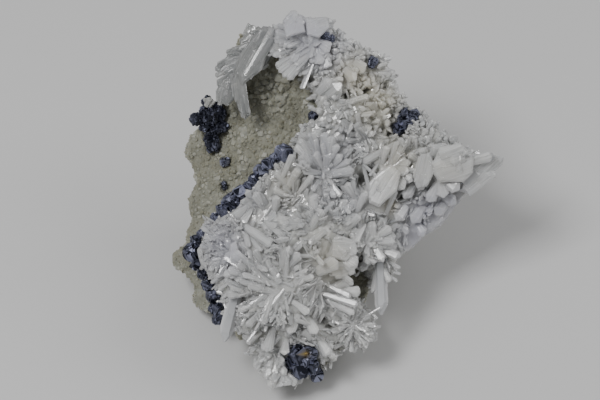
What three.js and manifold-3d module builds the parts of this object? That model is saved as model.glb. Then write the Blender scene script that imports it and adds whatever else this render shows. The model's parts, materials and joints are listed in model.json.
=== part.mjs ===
// A cabinet specimen of galena: dark metallic crystals with milky quartz on a pale, granular host rock.
// Every shape is drawn on the specimen's crystal-covered face: x to the right, y up the face, z out of it.
// The face then leans back over the broken flat base, so that +Z is up and the base lies at Z = 0.
// All lengths are millimetres.
import * as THREE from "three";
import { ConvexGeometry } from "three/addons/geometries/ConvexGeometry.js";
import { mergeVertices } from "three/addons/utils/BufferGeometryUtils.js";
import Module from "manifold-3d";

const wasm = await Module();
wasm.setup();

// Driving dimensions.
const FACE_LEAN = THREE.MathUtils.degToRad(40); // how far the face leans back from looking straight up
const FACE_ORIGIN = new THREE.Vector3(15.5, -3.5, 46); // where the face's origin stands over the base
const GRID = 8; // spacing of the rough surface's vertices
const ROUGHNESS = 1; // how far a vertex of a rough surface strays
const FIT_GAP = 0.3; // clearance between two minerals that grew against each other
const CRUST_ROOT = 1.5; // how deep the quartz crust sits in the rock
const CRYSTAL_ROOT = 2.5; // how deep a crystal starts below the surface that it grew from
const EDGE_THICKNESS = 7; // the rock's thickness at the rim of the face
const UNDERCUT = 15; // how far in from the rim the rock reaches its full depth
const FULL_DEPTH = 95; // deeper than any point of the rock behind the face
const SHEET_DEPTH = 200; // length of the prism that trims a rough sheet to its outline

// The rim of the host rock, going clockwise from the top left.
const ROCK_OUTLINE = [
  [-33, 56], [-27, 56], [-20, 57], [-12, 59], [-4, 58], [0, 54], [7, 50], [15, 46], [17, 40],
  [20, 34], [26, 27], [33, 22], [42, 16], [51, 12.5], [47, 6], [40, 0], [35, -6], [28, -11],
  [21, -16], [16, -21], [12, -26], [8, -33], [7, -40], [5, -46], [-2, -51], [-8, -56], [-16, -59.5],
  [-22, -59], [-26, -54], [-29, -47], [-34.5, -46], [-37, -39], [-42, -37.5], [-47, -37.5],
  [-50, -33], [-49, -29.5], [-53, -25], [-56.5, -21], [-56, -17.5], [-52, -16], [-51.5, -12],
  [-52, -9.5], [-50, -8], [-51, -2], [-51, 2], [-49, 3], [-48.5, 8], [-50, 11], [-52.5, 15],
  [-51, 22.5], [-47, 24], [-44, 30], [-40, 34], [-39, 42], [-38, 48],
];

// Heights of the rock's face: x, y and z at places where it changes.
const ROCK_SPOTS = [
  [-50, 20, -22], [-50, 10, -22], [-48, 0, -21], [-49, -10, -20], [-54, -20, -19], [-48, -34, -19],
  [-44, -28, -18], [-42, 20, -20], [-38, 8, -17], [-40, 0, -17], [-46, -8, -18], [-30, 22, -15],
  [-30, 12, -13], [-20, 25, -13], [-24, 18, -12], [-14, 24, -9], [-12, 33, -9], [-20, 35, -14],
  [-28, 36, -17], [-36, 36, -14], [-24, 44, -13], [-10, 42, -8], [-36, 46, -12], [-30, 54, -11],
  [-20, 57, -9], [-12, 58, -8], [-3, 58, -8], [5, 50, -8], [12, 46, -9], [18, 42, -12],
  [5, 40, -5], [12, 35, -6], [20, 33, -8], [-5, 20, -4], [5, 25, -3], [0, 10, -3], [10, 12, -2],
  [15, 20, -4], [22, 25, -7], [28, 25, -9], [25, 10, -5], [33, 14, -7], [40, 14, -9],
  [48, 12, -11], [54, 13, -12], [40, 4, -10], [32, 2, -8], [35, -6, -12], [26, -10, -9],
  [22, -16, -10], [15, -5, -3], [10, -15, -3], [15, -20, -6], [6, -24, -9], [0, -5, 1],
  [-10, -2, 1], [-20, 5, -5], [-25, -5, -1], [-34, -8, -6], [-40, -16, -8], [-30, -18, 2],
  [-20, -20, 5], [-10, -20, 4], [-15, -32, 4], [-25, -35, 1], [-35, -32, -6], [-5, -35, -1],
  [5, -42, -6], [-10, -45, -1], [-22, -45, 1], [-20, -55, 0], [-12, -55, -2], [-24, -60, 0],
  [0, -50, -4],
];

// The fracture planes that bound the rock below and behind: outward normal and a point, in the standing frame.
const FRACTURES = [
  { normal: [0, 0.95, -0.31], point: [2, 48, 70] },
  { normal: [-0.8, 0.45, -0.4], point: [-34, 23, 38] },
  { normal: [0.66, 0.6, -0.45], point: [44, 31, 50] },
  { normal: [0.74, -0.1, -0.66], point: [68, 14, 36] },
  { normal: [-0.86, -0.3, -0.42], point: [-41, -8, 14] },
  { normal: [0.1, -0.6, -0.8], point: [0, -32, 0] },
];

// The edge of the quartz crust, clockwise from the top: it covers the face except for the left-hand hollow.
const CRUST_OUTLINE = [
  [-17, 57], [-12, 60], [-3, 60], [0, 55], [8, 50.5], [15, 48], [17.5, 42], [18.5, 38], [23, 32],
  [29, 26.5], [35, 22], [43, 17], [46, 14.5], [53.5, 14], [54, 12], [47, 4.8], [41.5, 0.5], [38, -4],
  [34.5, -8.5], [28, -13], [22.5, -18], [19.5, -20], [18, -25], [14, -28.5], [10.5, -29],
  [8.5, -24.5], [6, -23], [3, -25], [3, -29], [7, -33], [8, -36.5], [11.5, -40], [11, -46],
  [6, -49], [0, -49], [-2, -53], [-7, -56], [-14, -60], [-21, -61.5], [-24, -58], [-27, -55],
  [-28.5, -49], [-31, -45.5], [-35, -42], [-37, -36], [-39, -31], [-43.5, -26], [-47, -21.5],
  [-48.5, -17], [-45.5, -11.5], [-42, -6], [-37.5, -4], [-34, -2], [-31, 2.5], [-28, 6.5],
  [-23, 10], [-18, 13], [-13.5, 15.5], [-14.5, 20.5], [-11, 25], [-7, 28], [-8.5, 33], [-10.5, 38],
  [-11, 43], [-17, 47], [-22, 50], [-23, 55],
];

// Heights of the crust between its standing crystals.
const CRUST_SPOTS = [
  [-20, 54, -4], [-12, 58, -4], [-12, 48, -2], [-3, 57, -4], [5, 50, -4], [12, 46, -5],
  [17, 43, -8], [5, 40, -1], [-6, 38, -3], [12, 35, -2], [20, 33, -5], [-12, 22, -3], [-5, 20, 0],
  [5, 25, 1], [0, 10, 0], [8, 8, -2], [10, 12, 0], [15, 20, 0], [22, 25, -4], [28, 25, -5],
  [17, 8, 3], [25, 10, 0], [33, 14, -2], [40, 14, -4], [48, 11, -8], [54, 13, -9], [40, 4, -6],
  [32, 2, -4], [35, -6, -9], [26, -10, -5], [22, -16, -6], [15, -5, 0], [8, -9, 2],
  [12, -17, 1], [16, -24, -2], [6, -24, -5], [0, -5, 6], [-10, -2, 7], [-17, 8, 4],
  [-25, 2, 4], [-32, -4, 3], [-40, -12, 3], [-46, -18, 0], [-36, -20, 7], [-28, -12, 9],
  [-20, -20, 12], [-10, -20, 12], [-2, -18, 8], [-15, -32, 12], [-25, -33, 9], [-34, -30, 4],
  [-5, -33, 6], [4, -42, 2], [11, -43, -1], [-4, -46, 3], [-10, -42, 7], [-12, -53, 3],
  [-22, -45, 8], [-28, -48, 4], [-21, -58, 5],
];

// Quartz crystals drawn one by one: foot x, y, tip x, y, how far the tip stands out beyond the foot, width, and
// thickness as a share of width.
const TOP_FAN = [
  [-12, 53, -24, 50, 1, 4.5, 0.5], [-12, 54, -24, 55.5, -1, 4.5, 0.5], [-12, 51, -22, 46.5, 2, 3.6, 0.6],
  [-10, 51, -20.5, 42.5, 3, 4, 0.6], [-9, 50, -17.5, 40, 3, 4, 0.7], [-13, 53, -15, 62.5, 1, 6.5, 0.6],
  [-13, 54, -19, 59.8, 0, 4.5, 0.6], [-7, 54, -4, 61.2, 0, 6.5, 0.9], [-10, 53, -6, 45.5, 4, 4.5, 0.6],
  [-9, 54, -3, 50, 4, 4.5, 0.6],
];
const UPPER_SPRAY = [
  [8, 20.5, 1.4, 29.4, 5, 3.4, 0.6], [8, 21, 4, 31.5, 4, 3, 0.6], [9, 22, 6.5, 32.5, 4, 2.6, 0.7],
  [-6, 28.5, 9.5, 34.5, 3, 3, 0.6], [-4, 35, 1, 39, 4, 5.5, 0.8],
  [2, 44, 4.5, 40, 4, 4.5, 0.8], [12, 42, 19, 43, 0, 2.6, 0.9], [12, 46, 17.7, 48.4, 0, 2.4, 0.9],
  [22, 30, 27.4, 31.2, 2, 2.4, 0.9], [28, 22, 31.5, 27.8, 1, 2.4, 0.9],
];
const MIDDLE_SPRAY = [
  [-5, 9, -12.5, 21.5, 4, 4, 0.5], [-5, 9, -9, 23.5, 5, 4.4, 0.5], [-5, 9, -5.5, 23, 6, 3.8, 0.5],
  [-5, 9, -1.6, 21, 6, 3, 0.6], [-5, 9, 0, 15.6, 5, 3, 0.6], [-5, 8, 4.6, 10, 4, 3.6, 0.6],
  [-5.5, 8.5, 0.5, 0.8, 4, 3.4, 0.6], [-21, 1.5, -15.5, 15.3, 5, 2.6, 0.7], [-20, 0, -10.6, 13.2, 6, 4.2, 0.6],
];
const RIGHT_SPRAY = [
  [20, 20.5, 6.8, 12.6, 3, 4.6, 0.5], [17, 11, 22.5, 20.5, 3, 3.2, 0.6], [17, 11, 24.6, 6.6, 3, 3.4, 0.6],
  [18, 11, 12, -2.2, 5, 8, 0.4], [7.8, 11.5, 9.9, 3.2, 5, 1.6, 0.9],
  [15, -5, 18.5, 3.8, 4, 2.2, 0.8], [30, 9, 44.6, 15.6, 4, 9, 0.45], [31, 9, 40, 2.8, 3, 6, 0.5],
  [34, 6, 29, -1.5, 3, 4.5, 0.8], [29, 12, 27, 17.5, 4, 4, 0.7], [38, 9, 55, 13.2, -3, 8.5, 0.6],
  [36, 0, 32, -5, 2, 4, 0.8],
];
const LOWER_RIGHT_SPRAY = [
  [13.5, -21, 14, -38.6, 1, 4, 0.9], [13, -19, 20.6, -23, 1, 1.8, 0.9], [13, -23, 19.8, -27.6, 0, 1.8, 0.9],
  [12, -23, 11, -31.8, 1, 2.2, 0.9], [12, -16, 20.4, -19.4, 2, 3.4, 0.8], [10, -14, 18, -12.5, 4, 3.4, 0.7],
  [9, -13, 9.5, -21.5, 5, 4, 0.7], [-2, -13, 5.5, -17.5, 4, 7, 0.5], [-3, -22, 4.8, -28.4, 2, 3, 0.8],
  [-5, -30, 5.6, -35.4, 3, 3.8, 0.6],
];
const ROSETTE = [
  [3, -42, 8.4, -34.4, 0, 2.6, 0.8], [3, -42, 12.4, -38.4, 0, 2.4, 0.8], [3, -42, 12.9, -43.4, 2, 2.6, 0.8],
  [3, -42, 12.4, -47, 1, 2.4, 0.8], [3, -42, 9, -49.8, 1, 2.6, 0.8], [3, -42, 4.6, -51.5, 2, 2.6, 0.8],
  [3, -42, -0.6, -50.6, 2, 2.4, 0.8], [3, -42, -2.6, -36.8, 4, 3, 0.8],
];
const FRONT_MASS = [
  [-35.5, -30, -38.8, -47.7, 0, 4, 0.9], [-33, -8, -22.6, -14.7, 4, 3.6, 0.6], [-24, -28, -36.5, -19.5, 4, 4.2, 0.6],
  [-24, -28, -37, -26, 3, 4.4, 0.6], [-22, -29, -36, -32, 3, 4, 0.6],
  [-20, -30, -11, -27, 6, 4, 0.7], [-24, -32, -33, -40, 3, 3.6, 0.7], [-23, -34, -27, -44, 3, 3.6, 0.7],
  [-21, -34, -19, -43, 5, 3.6, 0.7], [-16, -20, -20, -12, 5, 4, 0.7], [-12, -16, -6, -21, 5, 4, 0.7],
  [-8, -24, -1, -20, 4, 6, 0.5], [-10, -10, -6, -3, 5, 4, 0.7], [-25, -3, -29, 3.5, 4, 3.4, 0.7],
  [-30, -6, -36.5, -9, 4, 3.6, 0.7], [-38, -12, -43.5, -14, 4, 3.4, 0.7],
  [-39, -24, -43.6, -27.6, 1, 2, 0.9], [-36, -30, -40.4, -31.6, 1, 2, 0.9], [-11, -39, -8, -44.5, 5, 5, 0.8],
  [-7, -46, -3.4, -52, 3, 4.5, 0.8], [-5, -49, -1, -54.2, 1, 2.8, 0.8], [-26, -44, -31.4, -48, 2, 3, 0.8],
  [-26, -47, -30.8, -51.6, 1, 2.6, 0.8], [-25, -50, -28.2, -56.6, 1, 3.6, 0.8], [-22, -52, -22.6, -63.8, 1, 5.2, 0.7],
  [-20, -56, -17.6, -62.4, 0, 4, 0.8], [-12, -57, -14.4, -62.2, -2, 3.2, 0.8],
];

// The long tabular blades of the top left corner stand clear of the hollow: foot and tip as x, y and z, then width,
// and thickness as a share of width.
const TALL_BLADES = [
  [-23.5, 57.5, -6, -36.5, 37, -2, 9, 0.4], [-36.5, 43, -4, -31, 26.6, -3, 4.6, 0.5],
  [-35, 43, -7, -40.6, 33.2, -7, 6.5, 0.5], [-32, 51, -6, -42.2, 43.6, -6, 5.4, 0.5],
  [-29, 52, -8, -38.4, 50, -7, 4.6, 0.6], [-28, 53, -9, -31.2, 60.2, -6, 5.4, 0.6],
  [-26, 54, -10, -27.6, 58.2, -7, 5, 0.7], [-31, 47, -13, -33, 49, -3, 7, 0.9],
];

// Galena crystals: centre x, y, z, size across the cube faces, and a turn about x, y and z in degrees.
const RIM_UPPER = [
  [-19, 15.5, 0, 5.4, 20, 35, 10], [-22, 13.2, -0.5, 4.6, 50, 10, 30], [-25, 11.6, 0, 5.4, 15, 60, 25],
  [-28.4, 8, -0.5, 5.2, 70, 30, 5], [-31, 4.6, -0.5, 4.6, 25, 45, 60], [-33.6, 1.6, -1.5, 4.6, 10, 25, 40],
  [-37.4, -1, -1.5, 6.2, 60, 15, 35], [-41, -4.2, -2, 5.2, 20, 40, 55],
];
const RIM_LOWER = [
  [-46.6, -12.4, -4, 4.4, 15, 50, 35], [-49, -16.6, -5, 5.4, 30, 40, 50], [-47.8, -20.8, -6, 4.8, 20, 15, 65],
  [-45.8, -24.6, -7, 5, 50, 35, 25], [-43.8, -28.6, -8, 5, 10, 55, 40], [-42, -32.2, -9, 5, 35, 25, 15],
  [-41.4, -36.2, -10, 5.2, 65, 45, 30], [-40.4, -40.2, -11, 4.6, 25, 10, 55],
];
const LEFT_CLUSTER = [
  [-44.6, 28.4, -15, 8, 25, 40, 15], [-48, 27, -15, 5.4, 50, 15, 35], [-40.6, 28.6, -17, 6.4, 15, 60, 45],
  [-44.6, 33.4, -15, 4.6, 35, 25, 60], [-42.8, 22.8, -18, 6.2, 60, 30, 10], [-43, 18, -19, 5.2, 20, 50, 30],
];
const BASE_CLUSTER = [
  [-14, -51.6, 5.6, 7, 30, 20, 40], [-10.2, -51.4, 4.6, 5.4, 55, 40, 15], [-13.8, -56.4, 4.4, 6.4, 15, 10, 20],
  [-9.8, -55.8, 3.6, 5.6, 40, 55, 35], [-7.6, -58, 1, 4.6, 50, 25, 10],
];
const RIGHT_CRYSTAL = [
  [21.8, 25.6, -3.6, 8.4, 35, 20, 25], [24.4, 28.2, -4, 5, 15, 50, 40], [19, 23.4, -3.6, 4.6, 60, 30, 15],
];
const SINGLE_BEADS = {
  galena_bead_middle: [[-8.6, 27.8, -6, 4.6, 30, 25, 15]],
  galena_bead_top: [[-4.4, 55, -2.4, 4.6, 20, 45, 35]],
  galena_bead_upper_right: [[11.2, 46.4, -4, 4.2, 40, 15, 50]],
  galena_speck_upper: [[-38.8, 12.8, -17, 3.4, 25, 35, 20]],
  galena_speck_lower: [[-38.8, 4.2, -17, 2.8, 50, 20, 40]],
};
const LARGE_GALENA = 5.5; // from this size up a crystal is a cube with trimmed corners
const CUBE_EDGE_LEFT = 0.45; // share of such a cube's edge that its trimmed corners leave

const COLOURS = {
  rock: { color: 0xa8a48e, roughness: 0.9, metalness: 0 },
  quartz: { color: 0xd6d8d6, roughness: 0.3, metalness: 0 },
  galena: { color: 0x3c4252, roughness: 0.35, metalness: 1 },
};

const toStanding = new THREE.Matrix4()
  .makeTranslation(FACE_ORIGIN.x, FACE_ORIGIN.y, FACE_ORIGIN.z)
  .multiply(new THREE.Matrix4().makeRotationX(FACE_LEAN));
const toFace = toStanding.clone().invert();

// A repeatable random number from 0 to 1.
function makeRandom(seed) {
  let state = seed;
  return () => {
    state = (Math.imul(state, 1664525) + 1013904223) >>> 0;
    return state / 4294967296;
  };
}

// Solids and geometries.
function toSolid(geometry) {
  const bare = geometry.clone();
  bare.deleteAttribute("normal");
  bare.deleteAttribute("uv");
  const merged = mergeVertices(bare, 1e-4);
  return new wasm.Manifold(
    new wasm.Mesh({
      numProp: 3,
      vertProperties: new Float32Array(merged.attributes.position.array),
      triVerts: new Uint32Array(merged.index.array),
    }),
  );
}

function toGeometry(solid) {
  const mesh = solid.getMesh();
  const geometry = new THREE.BufferGeometry();
  geometry.setAttribute("position", new THREE.BufferAttribute(mesh.vertProperties, 3));
  geometry.setIndex(new THREE.BufferAttribute(mesh.triVerts, 1));
  geometry.computeVertexNormals();
  return geometry;
}

function joined(solids) {
  return solids.reduce((sum, next) => sum.add(next));
}

// The largest connected body of a solid, without the crumbs that a cut leaves.
function mainBody(solid) {
  return solid.decompose().reduce((best, next) => (next.volume() > best.volume() ? next : best));
}

// An outline moved outward by a gap, corners kept sharp.
function grownOutline(outline, gap) {
  return outline.map((corner, i) => {
    const here = new THREE.Vector2(...corner);
    const before = new THREE.Vector2(...outline.at(i - 1)).sub(here).normalize();
    const after = new THREE.Vector2(...outline[(i + 1) % outline.length]).sub(here).normalize();
    const outward = new THREE.Vector2(before.y - after.y, after.x - before.x).normalize();
    const side = Math.max(0.35, Math.abs(before.cross(outward)));
    return here.addScaledVector(outward, gap / side).toArray();
  });
}

// The height at x, y that a list of spot heights gives, as a weighted mean over a reach.
function heightAt(spots, x, y, reach) {
  let sum = 0;
  let weights = 0;
  for (const [sx, sy, sz] of spots) {
    const weight = Math.exp(-((x - sx) ** 2 + (y - sy) ** 2) / (2 * reach ** 2)) + 1e-9;
    sum += weight * sz;
    weights += weight;
  }
  return sum / weights;
}

// How far a point is inside an outline, in millimetres; negative outside.
function depthInside(outline, x, y) {
  let nearest = Infinity;
  let inside = false;
  outline.forEach(([ax, ay], i) => {
    const [bx, by] = outline[(i + 1) % outline.length];
    const t = THREE.MathUtils.clamp(
      ((x - ax) * (bx - ax) + (y - ay) * (by - ay)) / ((bx - ax) ** 2 + (by - ay) ** 2), 0, 1,
    );
    nearest = Math.min(nearest, Math.hypot(x - ax - t * (bx - ax), y - ay - t * (by - ay)));
    if (ay > y !== by > y && x < ax + ((y - ay) * (bx - ax)) / (by - ay)) inside = !inside;
  });
  return inside ? nearest : -nearest;
}

// A closed sheet with a rough top and bottom, trimmed to an outline, and larger all round by a gap.
function roughSheet(outline, top, bottom, seed, gap = 0) {
  const random = makeRandom(seed);
  const xs = outline.map(([x]) => x);
  const ys = outline.map(([, y]) => y);
  const x0 = Math.min(...xs) - GRID;
  const y0 = Math.min(...ys) - GRID;
  const columns = Math.ceil((Math.max(...xs) + GRID - x0) / GRID) + 1;
  const rows = Math.ceil((Math.max(...ys) + GRID - y0) / GRID) + 1;
  const stray = () => (2 * random() - 1) * ROUGHNESS;
  const positions = [];
  for (const [surface, lift] of [[bottom, -1.5 * gap], [top, 1.5 * gap]]) {
    for (let row = 0; row < rows; row++) {
      for (let column = 0; column < columns; column++) {
        const x = x0 + column * GRID + stray();
        const y = y0 + row * GRID + stray();
        positions.push(x, y, surface(x, y) + stray() + lift);
      }
    }
  }
  const layer = columns * rows;
  const index = [];
  const quad = (a, b, c, d) => index.push(a, b, c, a, c, d);
  for (let row = 0; row < rows - 1; row++) {
    for (let column = 0; column < columns - 1; column++) {
      const a = row * columns + column;
      quad(a, a + columns, a + columns + 1, a + 1);
      quad(layer + a, layer + a + 1, layer + a + columns + 1, layer + a + columns);
    }
  }
  const rim = [];
  for (let column = 0; column < columns - 1; column++) rim.push(column);
  for (let row = 0; row < rows - 1; row++) rim.push(row * columns + columns - 1);
  for (let column = columns - 1; column > 0; column--) rim.push((rows - 1) * columns + column);
  for (let row = rows - 1; row > 0; row--) rim.push(row * columns);
  rim.forEach((a, i) => {
    const b = rim[(i + 1) % rim.length];
    quad(a, b, layer + b, layer + a);
  });
  const geometry = new THREE.BufferGeometry();
  geometry.setAttribute("position", new THREE.Float32BufferAttribute(positions, 3));
  geometry.setIndex(index);
  return toSolid(geometry).intersect(outlinePrism(gap ? grownOutline(outline, gap) : outline));
}

function outlinePrism(outline) {
  const shape = new THREE.Shape(outline.map(([x, y]) => new THREE.Vector2(x, y)));
  const prism = new THREE.ExtrudeGeometry(shape, { depth: SHEET_DEPTH, bevelEnabled: false });
  return toSolid(prism.translate(0, 0, -SHEET_DEPTH / 2 - FULL_DEPTH / 2));
}

// The two surfaces of the face.
const SPOT_REACH = 5;
const rockHeight = (x, y) => heightAt(ROCK_SPOTS, x, y, SPOT_REACH);
const crustHeight = (x, y) => heightAt(CRUST_SPOTS, x, y, SPOT_REACH);

// The rock's far side: the nearest fracture plane in the middle, rising to a thin edge at the rim.
function rockBack(x, y) {
  let back = -FULL_DEPTH;
  for (const { normal, point } of FRACTURES) {
    const n = new THREE.Vector3(...normal).transformDirection(toFace);
    const p = new THREE.Vector3(...point).applyMatrix4(toFace);
    back = Math.max(back, p.z + (n.x * (p.x - x) + n.y * (p.y - y)) / n.z);
  }
  const edge = rockHeight(x, y) - EDGE_THICKNESS;
  const inward = THREE.MathUtils.smoothstep(depthInside(ROCK_OUTLINE, x, y), 0, UNDERCUT);
  return Math.min(edge, THREE.MathUtils.lerp(edge, back, inward));
}

// A six-sided prism that narrows a little and ends in a point, from a foot to a tip, larger all round by a gap.
const SHOULDER_TAPER = 0.86; // width at the shoulder as a share of the width at the foot
const POINT_LENGTH = 0.75; // length of the pointed end per width
function quartzCrystal(foot, tip, width, thickness, gap = 0) {
  const along = new THREE.Vector3().subVectors(tip, foot);
  const length = along.length();
  const shoulder = Math.max(length * 0.5, length - POINT_LENGTH * width) + gap;
  const ring = (height, size) =>
    Array.from({ length: 6 }, (_, i) => {
      const angle = (i / 6) * 2 * Math.PI;
      const reach = size + 1.3 * gap;
      return [Math.cos(angle) * reach, Math.sin(angle) * (size * thickness + 1.3 * gap), height];
    }).flat();
  const positions = [
    ...ring(-gap, width / 2),
    ...ring(shoulder, (SHOULDER_TAPER * width) / 2),
    0, 0, length + 2 * gap,
    0, 0, -gap,
  ];
  const index = [];
  for (let i = 0; i < 6; i++) {
    const next = (i + 1) % 6;
    index.push(i, next, 6 + next, i, 6 + next, 6 + i, 6 + i, 6 + next, 12, 13, next, i);
  }
  const geometry = new THREE.BufferGeometry();
  geometry.setAttribute("position", new THREE.Float32BufferAttribute(positions, 3));
  geometry.setIndex(index);
  // Its width lies square to the view from the front of the face.
  along.normalize();
  const across = new THREE.Vector3(0, 0, 1).cross(along).normalize();
  const deep = new THREE.Vector3().crossVectors(along, across);
  geometry.applyMatrix4(new THREE.Matrix4().makeBasis(across, deep, along).setPosition(foot));
  return toSolid(geometry);
}

// The crystals of one spray, rooted below the crust's surface.
function sprayCrystals(rows, gap) {
  return rows.map(([x, y, tipX, tipY, rise, width, thickness]) => {
    const level = crustHeight(x, y);
    const foot = new THREE.Vector3(x, y, level - CRYSTAL_ROOT);
    const tip = new THREE.Vector3(tipX, tipY, level + rise);
    return quartzCrystal(foot, tip, width, thickness, gap);
  });
}

// A galena crystal, larger all round by a gap. Small ones show cube and octahedron faces of equal size.
function galenaCrystal([x, y, z, size, turnX, turnY, turnZ], gap) {
  const half = size / 2 + gap;
  const inner = size < LARGE_GALENA ? 0 : CUBE_EDGE_LEFT * half;
  const points = [];
  for (const a of [-half, half]) {
    for (const b of [-half, half]) {
      for (const c of [-inner, inner]) {
        points.push(new THREE.Vector3(a, b, c), new THREE.Vector3(a, c, b), new THREE.Vector3(c, a, b));
      }
    }
  }
  const turn = new THREE.Euler(...[turnX, turnY, turnZ].map(THREE.MathUtils.degToRad));
  const geometry = new ConvexGeometry(points);
  return toSolid(geometry.applyMatrix4(new THREE.Matrix4().makeRotationFromEuler(turn)).translate(x, y, z));
}

// The whole mass of each mineral, larger all round by a gap where it cuts a neighbour clear.
const GALENA = {
  galena_left_cluster: LEFT_CLUSTER,
  galena_rim_upper: RIM_UPPER,
  galena_rim_lower: RIM_LOWER,
  galena_base_cluster: BASE_CLUSTER,
  galena_right_pocket: RIGHT_CRYSTAL,
  ...SINGLE_BEADS,
};
const galenaPiece = (name, gap = 0) => joined(GALENA[name].map((row) => galenaCrystal(row, gap)));
const galenaMass = (gap) => joined(Object.keys(GALENA).map((name) => galenaPiece(name, gap)));

const SPRAYS = [TOP_FAN, UPPER_SPRAY, MIDDLE_SPRAY, RIGHT_SPRAY, LOWER_RIGHT_SPRAY, ROSETTE, FRONT_MASS];
function crustMass(gap = 0) {
  const underside = (x, y) => Math.min(rockHeight(x, y) - CRUST_ROOT, crustHeight(x, y) - 2 * CRUST_ROOT);
  const crust = roughSheet(CRUST_OUTLINE, crustHeight, underside, 7, gap);
  return joined([crust, ...SPRAYS.flatMap((rows) => sprayCrystals(rows, gap))]);
}

function bladeMass(gap = 0) {
  return joined(
    TALL_BLADES.map(([x, y, z, tipX, tipY, tipZ, width, thickness]) =>
      quartzCrystal(new THREE.Vector3(x, y, z), new THREE.Vector3(tipX, tipY, tipZ), width, thickness, gap),
    ),
  );
}

function rockMass() {
  const belowBase = new THREE.BoxGeometry(400, 400, 200).translate(0, 0, -100).applyMatrix4(toFace);
  return roughSheet(ROCK_OUTLINE, rockHeight, rockBack, 3).subtract(toSolid(belowBase));
}

function addMesh(group, name, solid, finish) {
  const mesh = new THREE.Mesh(toGeometry(solid), new THREE.MeshStandardMaterial(COLOURS[finish]));
  mesh.name = name;
  group.add(mesh);
}

function buildSpecimen() {
  const galenaSeat = galenaMass(FIT_GAP);
  const crustSeat = crustMass(FIT_GAP);
  const crust = mainBody(crustMass().subtract(galenaSeat));
  const blades = mainBody(bladeMass().subtract(crustSeat).subtract(galenaSeat));
  const rock = mainBody(rockMass().subtract(crustSeat).subtract(bladeMass(FIT_GAP)).subtract(galenaSeat));

  const face = new THREE.Group();
  face.applyMatrix4(toStanding);
  addMesh(face, "host_rock", rock, "rock");
  addMesh(face, "quartz_crust", crust, "quartz");
  addMesh(face, "quartz_tall_blades", blades, "quartz");
  for (const name of Object.keys(GALENA)) addMesh(face, name, galenaPiece(name), "galena");
  return face;
}

export default buildSpecimen();
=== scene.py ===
import itertools
import json
import math
import random

import bmesh
import bpy
import numpy as np
from mathutils import Matrix, Vector, noise
from mathutils.bvhtree import BVHTree

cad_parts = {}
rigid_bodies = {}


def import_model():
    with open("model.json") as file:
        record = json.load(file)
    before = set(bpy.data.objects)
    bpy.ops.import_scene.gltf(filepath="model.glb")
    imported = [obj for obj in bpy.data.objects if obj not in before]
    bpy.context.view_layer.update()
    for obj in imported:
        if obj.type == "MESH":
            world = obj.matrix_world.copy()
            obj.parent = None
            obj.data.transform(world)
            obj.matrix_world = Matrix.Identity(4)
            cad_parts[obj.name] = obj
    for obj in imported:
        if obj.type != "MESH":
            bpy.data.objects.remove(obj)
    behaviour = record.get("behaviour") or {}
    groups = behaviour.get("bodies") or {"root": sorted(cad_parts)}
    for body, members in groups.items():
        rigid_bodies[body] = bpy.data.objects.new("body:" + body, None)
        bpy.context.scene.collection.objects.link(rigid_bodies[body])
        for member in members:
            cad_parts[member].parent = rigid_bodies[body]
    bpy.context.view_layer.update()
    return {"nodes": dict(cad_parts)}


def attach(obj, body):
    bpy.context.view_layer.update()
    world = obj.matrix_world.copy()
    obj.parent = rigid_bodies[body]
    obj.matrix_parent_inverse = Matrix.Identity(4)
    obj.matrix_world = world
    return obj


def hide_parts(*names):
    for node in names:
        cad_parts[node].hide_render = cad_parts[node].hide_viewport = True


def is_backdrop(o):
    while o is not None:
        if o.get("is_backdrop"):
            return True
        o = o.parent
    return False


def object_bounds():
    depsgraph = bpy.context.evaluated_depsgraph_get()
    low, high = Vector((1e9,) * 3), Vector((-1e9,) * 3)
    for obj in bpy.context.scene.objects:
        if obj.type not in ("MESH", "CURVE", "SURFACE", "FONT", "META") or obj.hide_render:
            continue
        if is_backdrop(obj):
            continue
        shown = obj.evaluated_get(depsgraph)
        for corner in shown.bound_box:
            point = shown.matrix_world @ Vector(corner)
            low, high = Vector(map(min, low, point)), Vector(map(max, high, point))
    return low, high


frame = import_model()
BOX_LOW, BOX_HIGH = (Vector(corner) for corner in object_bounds())

MM = 0.001
FACE_LEAN = math.radians(40)
FACE_ORIGIN = Vector((15.5, -3.5, 46.0))
FACE = Matrix.Translation(FACE_ORIGIN) @ Matrix.Rotation(FACE_LEAN, 4, "X")  # face to part, in mm
SPOT_REACH = 5.0  # mm over which a height spot counts
BOX_MARGIN = 0.15  # mm that a crystal stays inside the part's box
ROCK_MARGIN = 0.03  # mm that the rock stays inside it
OUTLINE_BATCH = 20000  # points set against an outline at a time
CRUST_VOXEL = 1.25  # mm of the even mesh that each body starts from
ROCK_VOXEL = 1.1
GAP_SHADE_MARK = -1.0  # mark of the crust between crystals, whose faces are painted a darker grey as shade

rng = random.Random(11)


# Outlines of rock and crust on the face, and their heights at spots: x, y, z.
ROCK_OUTLINE = [
    (-33, 56), (-27, 56), (-20, 57), (-12, 59), (-4, 58), (0, 54), (7, 50), (15, 46), (17, 40),
    (20, 34), (26, 27), (33, 22), (42, 16), (51, 12.5), (47, 6), (40, 0), (35, -6), (28, -11),
    (21, -16), (16, -21), (12, -26), (8, -33), (7, -40), (5, -46), (-2, -51), (-8, -56), (-16, -59.5),
    (-22, -59), (-26, -54), (-29, -47), (-34.5, -46), (-37, -39), (-42, -37.5), (-47, -37.5),
    (-50, -33), (-49, -29.5), (-53, -25), (-56.5, -21), (-56, -17.5), (-52, -16), (-51.5, -12),
    (-52, -9.5), (-50, -8), (-51, -2), (-51, 2), (-49, 3), (-48.5, 8), (-50, 11), (-52.5, 15),
    (-51, 22.5), (-47, 24), (-44, 30), (-40, 34), (-39, 42), (-38, 48),
]
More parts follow.
